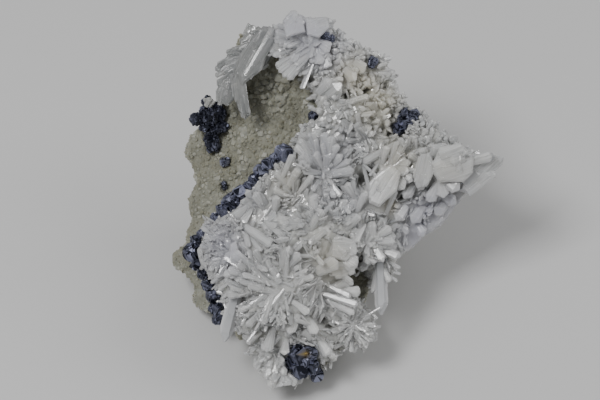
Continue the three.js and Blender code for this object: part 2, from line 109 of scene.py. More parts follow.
ROCK_SPOTS = [
    (-50, 20, -22), (-50, 10, -22), (-48, 0, -21), (-49, -10, -20), (-54, -20, -19), (-48, -34, -19),
    (-44, -28, -18), (-42, 20, -20), (-38, 8, -17), (-40, 0, -17), (-46, -8, -18), (-30, 22, -15),
    (-30, 12, -13), (-20, 25, -13), (-24, 18, -12), (-14, 24, -9), (-12, 33, -9), (-20, 35, -14),
    (-28, 36, -17), (-36, 36, -14), (-24, 44, -13), (-10, 42, -8), (-36, 46, -12), (-30, 54, -11),
    (-20, 57, -9), (-12, 58, -8), (-3, 58, -8), (5, 50, -8), (12, 46, -9), (18, 42, -12),
    (5, 40, -5), (12, 35, -6), (20, 33, -8), (-5, 20, -4), (5, 25, -3), (0, 10, -3), (10, 12, -2),
    (15, 20, -4), (22, 25, -7), (28, 25, -9), (25, 10, -5), (33, 14, -7), (40, 14, -9),
    (48, 12, -11), (54, 13, -12), (40, 4, -10), (32, 2, -8), (35, -6, -12), (26, -10, -9),
    (22, -16, -10), (15, -5, -3), (10, -15, -3), (15, -20, -6), (6, -24, -9), (0, -5, 1),
    (-10, -2, 1), (-20, 5, -5), (-25, -5, -1), (-34, -8, -6), (-40, -16, -8), (-30, -18, 2),
    (-20, -20, 5), (-10, -20, 4), (-15, -32, 4), (-25, -35, 1), (-35, -32, -6), (-5, -35, -1),
    (5, -42, -6), (-10, -45, -1), (-22, -45, 1), (-20, -55, 0), (-12, -55, -2), (-24, -60, 0),
    (0, -50, -4),
]
CRUST_OUTLINE = [
    (-17, 57), (-12, 60), (-3, 60), (0, 55), (8, 50.5), (15, 48), (17.5, 42), (18.5, 38), (23, 32),
    (29, 26.5), (35, 22), (43, 17), (46, 14.5), (53.5, 14), (54, 12), (47, 4.8), (41.5, 0.5), (38, -4),
    (34.5, -8.5), (28, -13), (22.5, -18), (19.5, -20), (18, -25), (14, -28.5), (10.5, -29),
    (8.5, -24.5), (6, -23), (3, -25), (3, -29), (7, -33), (8, -36.5), (11.5, -40), (11, -46),
    (6, -49), (0, -49), (-2, -53), (-7, -56), (-14, -60), (-21, -61.5), (-24, -58), (-27, -55),
    (-28.5, -49), (-31, -45.5), (-35, -42), (-37, -36), (-39, -31), (-43.5, -26), (-47, -21.5),
    (-48.5, -17), (-45.5, -11.5), (-42, -6), (-37.5, -4), (-34, -2), (-31, 2.5), (-28, 6.5),
    (-23, 10), (-18, 13), (-13.5, 15.5), (-14.5, 20.5), (-11, 25), (-7, 28), (-8.5, 33), (-10.5, 38),
    (-11, 43), (-17, 47), (-22, 50), (-23, 55),
]
CRUST_SPOTS = [
    (-20, 54, -4), (-12, 58, -4), (-12, 48, -2), (-3, 57, -4), (5, 50, -4), (12, 46, -5),
    (17, 43, -8), (5, 40, -1), (-6, 38, -3), (12, 35, -2), (20, 33, -5), (-12, 22, -3), (-5, 20, 0),
    (5, 25, 1), (0, 10, 0), (8, 8, -2), (10, 12, 0), (15, 20, 0), (22, 25, -4), (28, 25, -5),
    (17, 8, 3), (25, 10, 0), (33, 14, -2), (40, 14, -4), (48, 11, -8), (54, 13, -9), (40, 4, -6),
    (32, 2, -4), (35, -6, -9), (26, -10, -5), (22, -16, -6), (15, -5, 0), (8, -9, 2),
    (12, -17, 1), (16, -24, -2), (6, -24, -5), (0, -5, 6), (-10, -2, 7), (-17, 8, 4),
    (-25, 2, 4), (-32, -4, 3), (-40, -12, 3), (-46, -18, 0), (-36, -20, 7), (-28, -12, 9),
    (-20, -20, 12), (-10, -20, 12), (-2, -18, 8), (-15, -32, 12), (-25, -33, 9), (-34, -30, 4),
    (-5, -33, 6), (4, -42, 2), (11, -43, -1), (-4, -46, 3), (-10, -42, 7), (-12, -53, 3),
    (-22, -45, 8), (-28, -48, 4), (-21, -58, 5),
]


def height_at(spots, x, y):
    """Weighted mean of spot heights; x and y may be arrays."""
    x, y = np.asarray(x, float), np.asarray(y, float)
    total, weights = np.zeros_like(x), np.zeros_like(x)
    for sx, sy, sz in spots:
        w = np.exp(-((x - sx) ** 2 + (y - sy) ** 2) / (2 * SPOT_REACH**2)) + 1e-9
        total += w * sz
        weights += w
    return total / weights


def depth_inside(outline, x, y):
    """Distance inside an outline, negative outside; x and y may be arrays."""
    x, y = np.atleast_1d(np.asarray(x, float)), np.atleast_1d(np.asarray(y, float))
    a = np.array(outline, float)
    edge = np.roll(a, -1, axis=0) - a
    found = []
    for i in range(0, len(x), OUTLINE_BATCH):
        batch = slice(i, i + OUTLINE_BATCH)
        dx, dy = x[batch, None] - a[:, 0], y[batch, None] - a[:, 1]
        t = ((dx * edge[:, 0] + dy * edge[:, 1]) / (edge**2).sum(1)).clip(0, 1)
        nearest = np.hypot(dx - t * edge[:, 0], dy - t * edge[:, 1]).min(1)
        rise = np.where(edge[:, 1] == 0, 1e-9, edge[:, 1])
        crosses = ((dy < 0) != (dy < edge[:, 1])) & (dx < dy * edge[:, 0] / rise)
        found.append(np.where(crosses.sum(1) % 2 == 1, nearest, -nearest))
    return np.concatenate(found)


# Building blocks. A solid is its vertices in face millimetres, its faces and its marks: tone, seed and
# wide for each face, along (foot 0, tip 1) and side (-1 to 1 across the crystal) for each vertex.
def new_object(name, solid):
    vertices, faces, marks = solid
    mesh = bpy.data.meshes.new(name)
    mesh.from_pydata([tuple(v) for v in vertices], [], faces)
    made = bpy.data.objects.new(name, mesh)
    tag(made, **marks)
    return made


def add_mark(made, name, domain, values):
    layer = made.data.attributes.new(name, "FLOAT", domain)
    layer.data.foreach_set("value", values.astype(np.float32))


def tag(made, tone=0.0, seed=0.0, wide=0.0, along=0.0, side=0.0):
    """Store the marks of a solid on its mesh."""
    mesh = made.data
    for name, values in (("tone", tone), ("seed", seed), ("wide", wide)):
        add_mark(made, name, "FACE", np.broadcast_to(values, len(mesh.polygons)))
    corners = np.empty(len(mesh.loops), int)
    mesh.loops.foreach_get("vertex_index", corners)
    for name, values in (("along", along), ("side", side)):
        add_mark(made, name, "CORNER", np.broadcast_to(values, len(mesh.vertices))[corners])


def union(name, base, solids):
    """One closed body from a base object and a list of solids."""
    operands = bpy.data.collections.new(name + "_operands")
    bpy.context.scene.collection.children.link(operands)
    for solid in solids:
        operands.objects.link(new_object("operand", solid))
    modifier = base.modifiers.new("union", "BOOLEAN")
    modifier.operation, modifier.operand_type = "UNION", "COLLECTION"
    modifier.collection, modifier.solver = operands, "MANIFOLD"
    apply_modifiers(base)
    for made in list(operands.objects):
        mesh = made.data
        bpy.data.objects.remove(made)
        bpy.data.meshes.remove(mesh)
    bpy.data.collections.remove(operands)
    base.name = base.data.name = name
    return base


def apply_modifiers(made):
    graph = bpy.context.evaluated_depsgraph_get()
    mesh = bpy.data.meshes.new_from_object(made.evaluated_get(graph))
    old = made.data
    made.modifiers.clear()
    made.data = mesh
    bpy.data.meshes.remove(old)


def coordinates(made):
    found = np.empty(len(made.data.vertices) * 3)
    made.data.vertices.foreach_get("co", found)
    return found.reshape(-1, 3)


def set_coordinates(made, points):
    made.data.vertices.foreach_set("co", np.asarray(points, float).ravel())
    made.data.update()


def to_part(made):
    """From face millimetres to the part's metres."""
    made.data.transform(Matrix.Scale(MM, 4) @ FACE)
    made.data.update()


def in_box(point):
    """Whether a point of the face, in millimetres, is inside the part's box."""
    p = (FACE @ Vector(point)) * MM
    edge = BOX_MARGIN * MM
    return all(lo + edge <= c <= hi - edge for lo, c, hi in zip(BOX_LOW, p, BOX_HIGH))


def face_copy(node_name, voxel):
    """A closed, evenly meshed copy of one of the part's solids, in face millimetres."""
    made = bpy.data.objects.new(node_name + "_base", frame["nodes"][node_name].data.copy())
    bpy.context.scene.collection.objects.link(made)
    made.data.transform(FACE.inverted() @ Matrix.Scale(1 / MM, 4))
    made.data.materials.clear()
    remesh = made.modifiers.new("even", "REMESH")
    remesh.mode, remesh.voxel_size = "VOXEL", voxel
    apply_modifiers(made)
    return made


def tree_of(made):
    corners = [v.co.copy() for v in made.data.vertices]
    return BVHTree.FromPolygons(corners, [tuple(p.vertices) for p in made.data.polygons])


def vertex_normals(made):
    found = np.empty(len(made.data.vertices) * 3)
    made.data.vertex_normals.foreach_get("vector", found)
    return found.reshape(-1, 3)


def smoothed(made, rounds, factor=0.5):
    """Laplacian smoothing of a mesh."""
    edges = np.empty(len(made.data.edges) * 2, int)
    made.data.edges.foreach_get("vertices", edges)
    edges = edges.reshape(-1, 2)
    points = coordinates(made)
    count = np.bincount(edges.ravel(), minlength=len(points))[:, None]
    for _ in range(rounds):
        total = np.zeros_like(points)
        np.add.at(total, edges[:, 0], points[edges[:, 1]])
        np.add.at(total, edges[:, 1], points[edges[:, 0]])
        points = points * (1 - factor) + factor * total / np.maximum(count, 1)
    set_coordinates(made, points)


def scattered(*spreads, up=None):
    """A vector with normally spread components; up is the last one where that is fixed."""
    return Vector([rng.gauss(0, spread) for spread in spreads] + ([] if up is None else [up]))


# Quartz crystals. An end face leans from the crystal's axis; these are its normal's parts.
END_OUT = 0.786
END_UP = 0.618
FOOT_PLANE = (0.0, 0.0, -1.0, 1.0)  # a plane is its normal and its distance


def side_and_end(turn, side_distance, end_distance):
    """The planes of a prism face and of the end face above it."""
    x, y = math.cos(turn), math.sin(turn)
    return [(x, y, 0.0, side_distance), (END_OUT * x, END_OUT * y, END_UP, end_distance)]


def crystal_template():
    """A quartz crystal's end: prism radius 1, broad sides along y, shoulder near height 0, foot at -1."""
    planes = [FOOT_PLANE]
    largest = rng.randrange(9)  # the end face that outgrew the others, if it is one of the six
    for i in range(6):
        turn = math.radians(60 * i + 30 + rng.gauss(0, 2))
        side = rng.uniform(0.84, 0.96)
        push = rng.uniform(0.0, 0.22) + (0.0 if i % 2 else rng.uniform(0.0, 0.3))
        push -= rng.uniform(0.2, 0.4) if i == largest else 0.0
        planes += side_and_end(turn, side, 0.66 + push)
    if rng.random() < 0.35:
        turn = rng.uniform(0, 2 * math.pi)
        tilt = rng.uniform(0.1, 0.5)
        out = math.sin(tilt)
        planes.append((out * math.cos(turn), out * math.sin(turn), math.cos(tilt), rng.uniform(0.5, 0.9)))
    return hull_of_planes(planes)


def hull_of_planes(planes):
    """The closed body between planes, as vertices and faces."""
    n = np.array([p[:3] for p in planes])
    d = np.array([p[3] for p in planes])
    corners = []
    for i in range(len(n)):
        for j in range(i):
            for k in range(j):
                m = n[[i, j, k]]
                if abs(np.linalg.det(m)) < 1e-4:
                    continue
                p = np.linalg.solve(m, d[[i, j, k]])
                if (n @ p <= d + 1e-7).all():
                    corners.append(p)
    return hull_of_points(corners)


def hull_of_points(points):
    kept = []
    for p in points:
        if all(np.abs(np.asarray(p) - q).max() > 1e-5 for q in kept):
            kept.append(np.asarray(p, float))
    made = bmesh.new()
    for p in kept:
        made.verts.new(p)
    bmesh.ops.convex_hull(made, input=made.verts)
    loose = [v for v in made.verts if not v.link_faces]
    bmesh.ops.delete(made, geom=loose, context="VERTS")
    made.verts.index_update()
    vertices = np.array([v.co[:] for v in made.verts])
    faces = [tuple(v.index for v in f.verts) for f in made.faces]
    made.free()
    return vertices, faces


def needle_template():
    """A thin crystal's end with four sides, in the same proportions."""
    planes = [FOOT_PLANE]
    for i in range(4):
        turn = math.radians(90 * i + rng.gauss(0, 8))
        planes += side_and_end(turn, rng.uniform(0.7, 0.95), rng.uniform(0.45, 0.95))
    return hull_of_planes(planes)


TEMPLATES = [crystal_template() for _ in range(32)]
NEEDLES = [needle_template() for _ in range(16)]


def crystal(foot, tip, width, thickness=0.8, foot_share=0.9, towards=(0, 0, 1), roll=0.0, tone=None,
            pointed=1.0, templates=TEMPLATES):
    """A quartz crystal from foot to tip, its broad side towards a direction and turned from it by roll.

    Thickness and foot_share, its width at the foot, are shares of its width.
    """
    vertices, faces = rng.choice(templates)
    foot, tip = Vector(foot), Vector(tip)
    along = tip - foot
    length = along.length
    along.normalize()
    across = Vector(towards).cross(along)
    across = across.normalized() if across.length > 0.05 else along.orthogonal().normalized()
    across = Matrix.Rotation(roll, 3, along) @ across
    deep = along.cross(across)
    half = width / 2
    steep = half * (0.5 + 0.5 * thickness) * pointed
    top = vertices[:, 2].max() * steep
    body = max(length - top, 0.25 * length)
    steep = min(steep, (length - body) / vertices[:, 2].max())
    at_foot = vertices[:, 2] < -0.5
    z = np.where(at_foot, 0.0, body + vertices[:, 2] * steep)
    share = np.where(at_foot, foot_share, 1.0)
    x = vertices[:, 0] * half * share
    y = vertices[:, 1] * half * share * thickness
    points = np.array(foot) + np.outer(x, across) + np.outer(y, deep) + np.outer(z, along)
    tone = rng.uniform(0.15, 0.85) if tone is None else tone
    tones = np.clip([tone + rng.gauss(0, 0.07) for _ in faces], 0, 1)
    marks = dict(tone=tones, seed=rng.random(), wide=width, along=z / length, side=vertices[:, 0])
    return points, faces, marks


# Share of the outline and height of each of a plate's three levels, in shares of its thickness.
PLATE_LEVELS = ((0.86, 0.5), (1.0, 0.1), (0.9, -0.5))
PLATE_STEPS = 7


def plate(outline, height, slope, thickness, tone):
    """A flat crystal seen from its broad side: height at its middle, slope along x and y."""
    flat = np.array(outline, float)
    centre = flat.mean(0)
    spread = flat - centre
    rise = height + spread @ np.array(slope)
    points = [
        (*(centre + s * share), z + thickness * (lift + rng.uniform(-0.06, 0.06)))
        for share, lift in PLATE_LEVELS for s, z in zip(spread, rise)
    ]
    vertices, faces = hull_of_points(points)
    main = np.linalg.svd(spread, full_matrices=False)[2]
    offset = (vertices[:, :2] - centre) @ main.T
    half = np.abs(offset).max(0)
    along = offset[:, 0] / half[0] * 0.5 + 0.5
    marks = dict(tone=np.full(len(faces), tone), seed=rng.random(), wide=2 * half[1], along=along)
    return vertices, faces, dict(marks, side=offset[:, 1] / half[1])


def stepped_plate(outline, height, slope, thickness, tone):
    """A broad crystal with thin layers that end in steps on its face."""
    flat = np.array(outline, float)
    centre = flat.mean(0)
    axis = np.linalg.svd(flat - centre, full_matrices=False)[2]
    half_long, half_wide = np.abs((flat - centre) @ axis.T).max(0)
    solids = [plate(outline, height, slope, thickness, tone)]
    for _ in range(PLATE_STEPS):
        start, end = sorted(rng.uniform(-0.85, 0.85) for _ in range(2))
        if end - start < 0.4:
            start, end = -0.8 * rng.random(), 0.8 * rng.random()
        side = rng.uniform(-0.7, 0.7)
        if rng.random() < 0.5:
            start, end = end, start
        ends = []
        for share in (start, end):
            shift = np.array([share * half_long, side * half_wide * (1 - 0.5 * abs(share))]) @ axis
            level = height + shift @ np.array(slope) + thickness * 0.5 + rng.uniform(-0.5, 0.0)
            ends.append((*(centre + shift), level))
        solids.append(crystal(
            *ends, half_wide * rng.uniform(0.3, 0.75), rng.uniform(0.25, 0.4),
            towards=(-slope[0], -slope[1], 1), roll=rng.gauss(0, 0.08), tone=tone + rng.gauss(0, 0.12),
            foot_share=rng.uniform(0.7, 1), pointed=rng.uniform(0.6, 1.6),
        ))
    return solids


GOLDEN_TURN = 2.4  # radians between points that spread evenly over a ball


def grain_shape():
    """A blunt lump of radius about 1."""
    points = []
    for i in range(12):
        z = (i + 0.5) / 6 - 1
        across = math.sqrt(1 - z * z)
        turn = GOLDEN_TURN * i + rng.gauss(0, 0.3)
        size = rng.uniform(0.82, 1.08)
        points.append((size * across * math.cos(turn), size * across * math.sin(turn), size * z))
    return hull_of_points(points)


GRAINS = [grain_shape() for _ in range(24)]


def grain(centre, size, tone):
    """A small blunt grain, its shape and turn at random."""
    vertices, faces = rng.choice(GRAINS)
    axis = scattered(1, 1, 1)
    turn = np.array(Matrix.Rotation(rng.uniform(0, 3.1), 3, axis))
    return np.array(centre) + vertices @ turn * size * 0.5, faces, dict(tone=tone, seed=rng.random())


# Chance that small growth stays where it would stand in front of a crystal seen by itself.
FILLER_CHANCE = 0.15
FILLER_CHANCE_IN_FRONT = 0.6
FRONT_SPRAY = (-19, -30)  # centre of the large spray at the front, on the face
FRONT_CORE = 13  # mm from that centre where small growth may overlap the blades
FRONT_REACH = 17  # mm from that centre where sheaves are long


def distance_to_front(point):
    return math.hypot(point[0] - FRONT_SPRAY[0], point[1] - FRONT_SPRAY[1])


class Crust:
    """The quartz that covers the face: its base and the crystals that stand on it."""

    def __init__(self, base):
        self.base = base
        self.tree = tree_of(base)
        self.crystals = []
        self.kept = []  # axes and widths of the crystals that nothing may cover

    def level(self, x, y):
        """Height and normal of the base at a point of the face, or None and None beside it."""
        hit = self.tree.ray_cast(Vector((x, y, 60)), Vector((0, 0, -1)))
        return (hit[0].z, hit[1]) if hit[0] is not None else (None, None)

    def add(self, foot, tip, width, *args, free=False, filler=False, into=None, over=0.0, **kwargs):
        """Add a crystal unless it leaves the box or the outline, hides galena, or fills what stays open.

        A free crystal is listed, and a filler is small growth between the others.
        """
        if not in_box(tip) or not (free or (inside_face(tip, -over) and not over_galena(foot, tip))):
            return
        chance = FILLER_CHANCE_IN_FRONT if distance_to_front(tip) < FRONT_CORE else FILLER_CHANCE
        if filler and self.covers(foot, tip) and rng.random() > chance:
            return
        if filler and any(math.hypot(tip[0] - x, tip[1] - y) < r + 0.2 for x, y, r, _ in OPENINGS):
            return
        if free:
            self.kept.append((foot[0], foot[1], tip[0], tip[1], width))
        (self.crystals if into is None else into).append(crystal(foot, tip, width, *args, **kwargs))

    def covers(self, foot, tip):
        """Whether a small crystal would stand in front of one that is seen by itself."""
        if not self.kept:
            return False
        a = np.array(self.kept)
        edge = a[:, 2:4] - a[:, :2]
        for share in (0.6, 1.0):
            point = np.array([f + (t - f) * share for f, t in zip(foot[:2], tip[:2])])
            t = (((point - a[:, :2]) * edge).sum(1) / ((edge**2).sum(1) + 1e-9)).clip(0, 1)
            if (np.hypot(*(point - a[:, :2] - t[:, None] * edge).T) < a[:, 4] * 0.36).any():
                return True
        return False

    def add_plate(self, *row):
        self.crystals += stepped_plate(*row)
        x, y = np.array(row[0], float).T
        width = 0.8 * math.sqrt(np.ptp(x) * np.ptp(y))
        self.kept.append((x.mean(), y.mean(), x.mean() + 0.1, y.mean(), width))


def over_galena(foot, tip):
    """Whether a crystal would hide one of the galena crystals."""
    for share in (0.4, 0.7, 1.0):
        x, y = (a + (b - a) * share for a, b in zip(foot[:2], tip[:2]))
        for rows in GALENA.values():
            for gx, gy, gz, size, *_ in rows:
                if tip[2] > gz - 0.3 * size and math.hypot(x - gx, y - gy) < size * 0.45:
                    return True
    return False


def inside_face(point, margin=0.0):
    return depth_inside(FACE_EDGE, point[0], point[1])[0] > margin


BLADE_LIFT = 0.8  # mm between a fan's tiers
BLADE_THICKNESS = (0.25, 0.42)  # share of a fan blade's width


def fan(crust, x, y, reach, tiers, share, arc, tone, raised):
    """Overlapping flat blades that radiate from a point of the crust and lie on it, the longest lowest."""
    level, normal = crust.level(x, y)
    if level is None:
        return
    level += raised
    start, end = arc
    for tier in range(tiers):
        length = reach * (1 - 0.26 * tier)
        width = length * share
        count = max(2, round(math.radians(end - start) * length / width))
        for i in range(count):
            angle = math.radians(start + (end - start) * (i + 0.5 + rng.uniform(-0.9, 0.9)) / count)
            out = length * rng.uniform(0.55, 1.12)
            cx, cy = x + rng.gauss(0, 0.09) * reach, y + rng.gauss(0, 0.09) * reach
            lean = angle + rng.gauss(0, 0.16)
            tip_x, tip_y = cx + out * math.cos(lean), cy + out * math.sin(lean)
            below, _ = crust.level(tip_x, tip_y)
            tip_z = level if below is None else min(max(below + 0.4, level - 0.35 * out), level + 0.5 * out)
            tip_z += BLADE_LIFT * (0.5 + tier) + rng.uniform(-0.5, 0.9)
            foot_z = level - 0.7 + 0.45 * tier
            foot = (cx + 0.06 * out * math.cos(lean), cy + 0.06 * out * math.sin(lean), foot_z)
            facing = normal + scattered(0.25, 0.25, up=0.4)
            own = min(max(tone + rng.gauss(0, 0.2), 0), 1)
            crust.add(
                foot, (tip_x, tip_y, tip_z), width * rng.uniform(0.45, 1.5), rng.uniform(*BLADE_THICKNESS),
                tone=own, foot_share=rng.uniform(0.45, 0.8), towards=facing, roll=rng.gauss(0, 0.22),
                pointed=rng.uniform(0.7, 1.3),
            )


def sheaf(crust, into, p, n, angle, reach, width, stand):
    """A bundle of near-parallel blades and needles that leaves the crust in one direction.

    It grows from point p with normal n, towards an angle on the face, and stands up by the angle stand.
    """
    ahead = Vector((math.cos(angle), math.sin(angle), 0))
    ahead = (ahead - n * ahead.dot(n)).normalized()
    across = n.cross(ahead)
    needles = rng.randint(2, 4)
    for i in range(needles + rng.randint(2, 4)):
        fine = i < needles
        turn = rng.gauss(0, 0.34 if fine else 0.2)
        rise = stand + rng.gauss(0, 0.16)
        way = (ahead * math.cos(turn) + across * math.sin(turn)) * math.cos(rise) + n * math.sin(rise)
        foot = p + across * rng.gauss(0, 0.55) * width + ahead * rng.gauss(0, 0.5) - n * 0.5
        tip = foot + way * reach * rng.uniform(0.5, 1.12)
        below, _ = crust.level(tip.x, tip.y)
        if below is not None:
            tip.z = max(tip.z, below + rng.uniform(0.2, 1.2))
        facing = n + scattered(0.3, 0.3, up=0.2)
        if fine:
            crust.add(
                foot, tip, rng.uniform(0.45, 0.9), rng.uniform(0.6, 1.0), towards=facing,
                roll=rng.uniform(0, 3), pointed=rng.uniform(1.2, 3.0), templates=NEEDLES,
                filler=True, into=into,
            )
        else:
            crust.add(
                foot, tip, width * rng.uniform(0.45, 1.35), rng.uniform(0.3, 0.6), towards=facing,
                foot_share=rng.uniform(0.5, 0.9), roll=rng.gauss(0, 0.35), pointed=rng.uniform(1.0, 2.2),
                filler=True, into=into,
            )


# The whole specimen's edge on the face, clockwise from the top.
FACE_EDGE = [
    (-15, 62.5), (-12, 62), (-9.5, 60.5), (-5, 61.5), (-2, 61), (1, 56.5), (5, 54), (6.5, 51.5),
    (11, 50.5), (12, 49.5), (17.5, 48), (16.5, 47), (17, 44), (19, 42.5), (18.5, 40), (19.5, 36.5),
    (22, 34.5), (25, 30.5), (27.5, 31), (31.5, 27), (33, 25), (36, 22), (42, 18), (45, 15.5),
    (48, 15.5), (54, 14.5), (55, 13), (53, 10.5), (50, 8), (45, 3.5), (40, -1.5), (38, -3.5),
    (34, -8.5), (30, -12), (24, -17.5), (20.5, -19), (18, -22), (20.5, -23), (18, -25),
    (19.5, -27.5), (16, -28.5), (14, -38.5), (12, -31), (9, -31), (8, -33), (8, -36.5),
    (11.5, -37.5), (13, -39.5), (12.5, -46.5), (10.5, -48), (9, -50), (6, -51), (3.5, -51.5),
    (-2, -50), (-1, -53.5), (-5, -56.5), (-9, -60.5), (-13, -62), (-18, -62), (-22.5, -63.5),
    (-24, -59), (-28, -56.5), (-29, -53), (-31.5, -51), (-31, -48), (-34.5, -47.5), (-35, -42),
    (-39, -47.5), (-40, -44), (-43.5, -40), (-48, -36.5), (-50, -28.5), (-56, -21.5), (-56.5, -18),
    (-51, -14), (-50, -9), (-51, -5), (-48.5, 2), (-49, 9), (-52.5, 14.5), (-51.5, 20), (-47, 24),
    (-49.5, 26), (-50, 29), (-46, 34), (-42, 36), (-38.8, 40.7), (-42, 43), (-35, 51.5), (-33, 57),
    (-30.5, 60), (-27, 57), (-25, 58.5), (-21, 60), (-18, 60),
]

# Quartz crystals seen one by one: foot x, y, tip x, y, rise of the tip over the foot, width, thickness
# as a share of width, width at the foot as a share.
TOP_FAN = [
    (-12, 53, -24, 50, 1, 4.0, 0.4, 0.5), (-12, 54, -24, 53, 0, 3.6, 0.4, 0.5),
    (-12, 54, -24, 55.5, -1, 4.0, 0.4, 0.5), (-12, 52.5, -22.5, 48, 2, 2.2, 0.6, 0.7),
    (-10, 51, -20.5, 42.5, 3, 2.4, 0.7, 0.8), (-9, 51, -19.2, 41, 3.6, 2.0, 0.7, 0.8),
    (-9, 50, -17.5, 40, 3, 2.6, 0.7, 0.8), (-10.5, 50.5, -21.6, 44.6, 3, 2.0, 0.8, 0.8),
    (-13, 53, -15, 62.3, 1, 6.5, 0.5, 0.6), (-13, 54, -19, 59.8, 0, 4.5, 0.5, 0.6),
    (-11, 54, -10.6, 61.4, 1, 5.0, 0.6, 0.6), (-7, 54, -4, 61.0, 0, 6.0, 0.8, 0.7),
    (-10, 53, -6, 45.5, 4, 4.0, 0.6, 0.6), (-9, 54, -3, 50, 4, 4.5, 0.6, 0.6),
    (-9, 54, -2.4, 56.5, 3, 4.5, 0.6, 0.6), (-6.5, 45.5, -12.8, 42, 2, 1.8, 0.8, 0.9),
    (-12, 52, -16, 46, 4, 3.2, 0.5, 0.6), (-12, 54, -17, 55, 3, 4.0, 0.5, 0.6),
]
UPPER_SPRAY = [
    (8, 20.5, 1.8, 29.6, 5, 2.6, 0.6, 0.8), (8.2, 20.8, 4.4, 30.6, 4.5, 1.6, 0.7, 0.8),
    (9, 22, 6.2, 31, 4, 2.2, 0.7, 0.8), (7.5, 20.5, 0.5, 26.6, 5, 2.2, 0.6, 0.8),
    (-8, 27, 9.8, 34, 3, 2.0, 0.7, 0.9), (-12, 23.8, -1.5, 29.4, 3, 1.8, 0.7, 0.9),
    (-10, 25.5, 1, 31.2, 3, 1.8, 0.7, 0.9), (-1, 31.5, 9.5, 34.6, 4, 2.2, 0.6, 0.9),
    (-4, 35, 0.5, 39, 5, 5.0, 0.8, 0.9), (-7, 36, -2.5, 40, 5, 4.5, 0.8, 0.9),
    (1.5, 43.5, 5.2, 40, 4, 4.2, 0.8, 0.9), (5, 46, 8.6, 43, 4, 4.0, 0.8, 0.9),
    (12, 42, 18.6, 42.4, 1, 2.2, 0.8, 0.9), (12, 46, 17.6, 47.8, 0, 1.8, 0.8, 0.9),
    (9, 46, 10.8, 50.4, 1, 1.8, 0.8, 0.9), (12, 30, 9.5, 33, 5, 3.5, 0.8, 0.9),
    (22, 30, 26.8, 30.8, 1, 1.6, 0.9, 0.9), (28, 22, 31.3, 26.8, 1, 1.6, 0.9, 0.9),
    (27.6, 24.6, 27, 28.4, 2, 2.0, 0.8, 0.8),
]
MIDDLE_SPRAY = [
    (-5, 9, -13.2, 20.6, 3, 3.4, 0.4, 0.4), (-5, 9, -10.6, 22.4, 4, 3.6, 0.4, 0.4),
    (-5, 9, -8, 23.4, 5, 3.6, 0.4, 0.4), (-5, 9, -5.2, 22.6, 6, 3.2, 0.4, 0.4),
    (-5, 9, -2.8, 21.4, 6, 3.0, 0.5, 0.5), (-5, 9, -0.9, 18.6, 5, 2.6, 0.5, 0.5),
    (-5, 9, 0.4, 15, 5, 2.6, 0.5, 0.5), (-5, 8, 4.8, 10, 4, 3.6, 0.5, 0.6),
    (-5, 9, 3.2, 13.2, 4, 2.2, 0.6, 0.6), (-5.5, 8.5, 0.3, 1.2, 4, 2.0, 0.7, 0.8),
    (-5.5, 8.5, -1.6, 0.6, 4, 2.4, 0.6, 0.8), (-6, 8, -9.5, 3, 6, 2.4, 0.7, 0.7),
    (-16, 12.5, -12, 24.6, 1, 1.4, 0.8, 0.8), (-21, 3, -15.6, 15.2, 5, 2.4, 0.7, 0.7),
    (-19, 2, -10.7, 13.2, 6, 3.6, 0.6, 0.7), (-19, 1, -13.6, 10.6, 7, 2.6, 0.7, 0.7),
    (-14, 2, -9, 8.4, 6, 2.0, 0.8, 0.8), (-6, 10, -14, 14, 4, 3.4, 0.5, 0.5),
    (-5, 9, -12.5, 9.6, 5, 2.6, 0.5, 0.5), (-5, 9, -8.5, 16, 7, 2.8, 0.5, 0.5),
    (-5, 9, -4, 15, 7.5, 2.8, 0.5, 0.5),
]
RIGHT_SPRAY = [
    (20, 20.6, 6.6, 14, 3.5, 3.6, 0.5, 0.9), (19.5, 19.2, 7.6, 12.4, 2.8, 2.6, 0.6, 0.9),
    (17, 11, 21.6, 19.8, 3, 3.0, 0.6, 0.7), (16.6, 12, 19, 19.5, 4, 2.2, 0.6, 0.8),
    (17, 11, 24.4, 6.4, 3, 3.2, 0.6, 0.7), (17, 11, 25.4, 9.4, 3, 2.2, 0.6, 0.7),
    (17, 9, 21.6, 3.6, 4, 4.4, 0.5, 0.6), (7.8, 11.5, 9.9, 3.2, 5, 1.5, 0.9, 0.9),
    (7.4, 12.2, 12.6, 7.4, 5, 1.3, 0.9, 0.9), (12.8, 12.2, 9.8, 8, 5, 1.2, 0.9, 0.9),
    (14, 12, 15.6, 18, 4, 3.0, 0.6, 0.7), (15, -5, 18.4, 3.4, 4, 2.2, 0.8, 0.9),
    (5.5, -4, 8.4, 2.4, 4, 2.4, 0.8, 0.8), (31, 9, 40, 3.4, 3, 4.4, 0.5, 0.6),
    (31, 10, 38.6, 9, 4, 5.0, 0.5, 0.6), (34, 7, 29.4, -0.5, 3, 4.0, 0.7, 0.7),
    (33, 8, 34.6, 0.6, 3, 4.2, 0.6, 0.6), (30, 10, 25.6, 3.6, 3, 4.0, 0.6, 0.6),
    (25, 6, 21.4, 0.5, 4, 3.6, 0.8, 0.7), (29, 12, 27, 17.5, 4, 4.0, 0.7, 0.7),
    (31, 12, 32.4, 18.6, 3, 4.0, 0.6, 0.7), (28, 12, 23, 15.6, 4, 3.4, 0.6, 0.7),
    (40, 12, 50.6, 14.6, -3, 3.4, 0.6, 0.9), (36, 0, 32, -5, 1.5, 4.4, 0.8, 0.8),
    (28, -2, 24, -7.6, 3, 4.4, 0.8, 0.8), (34, 2, 39, -1.2, 1, 4.0, 0.6, 0.8),
    (22, -2, 18.6, -7, 4, 4.4, 0.7, 0.8), (26, -8, 28.4, -12.2, 1, 3.6, 0.7, 0.8),
]
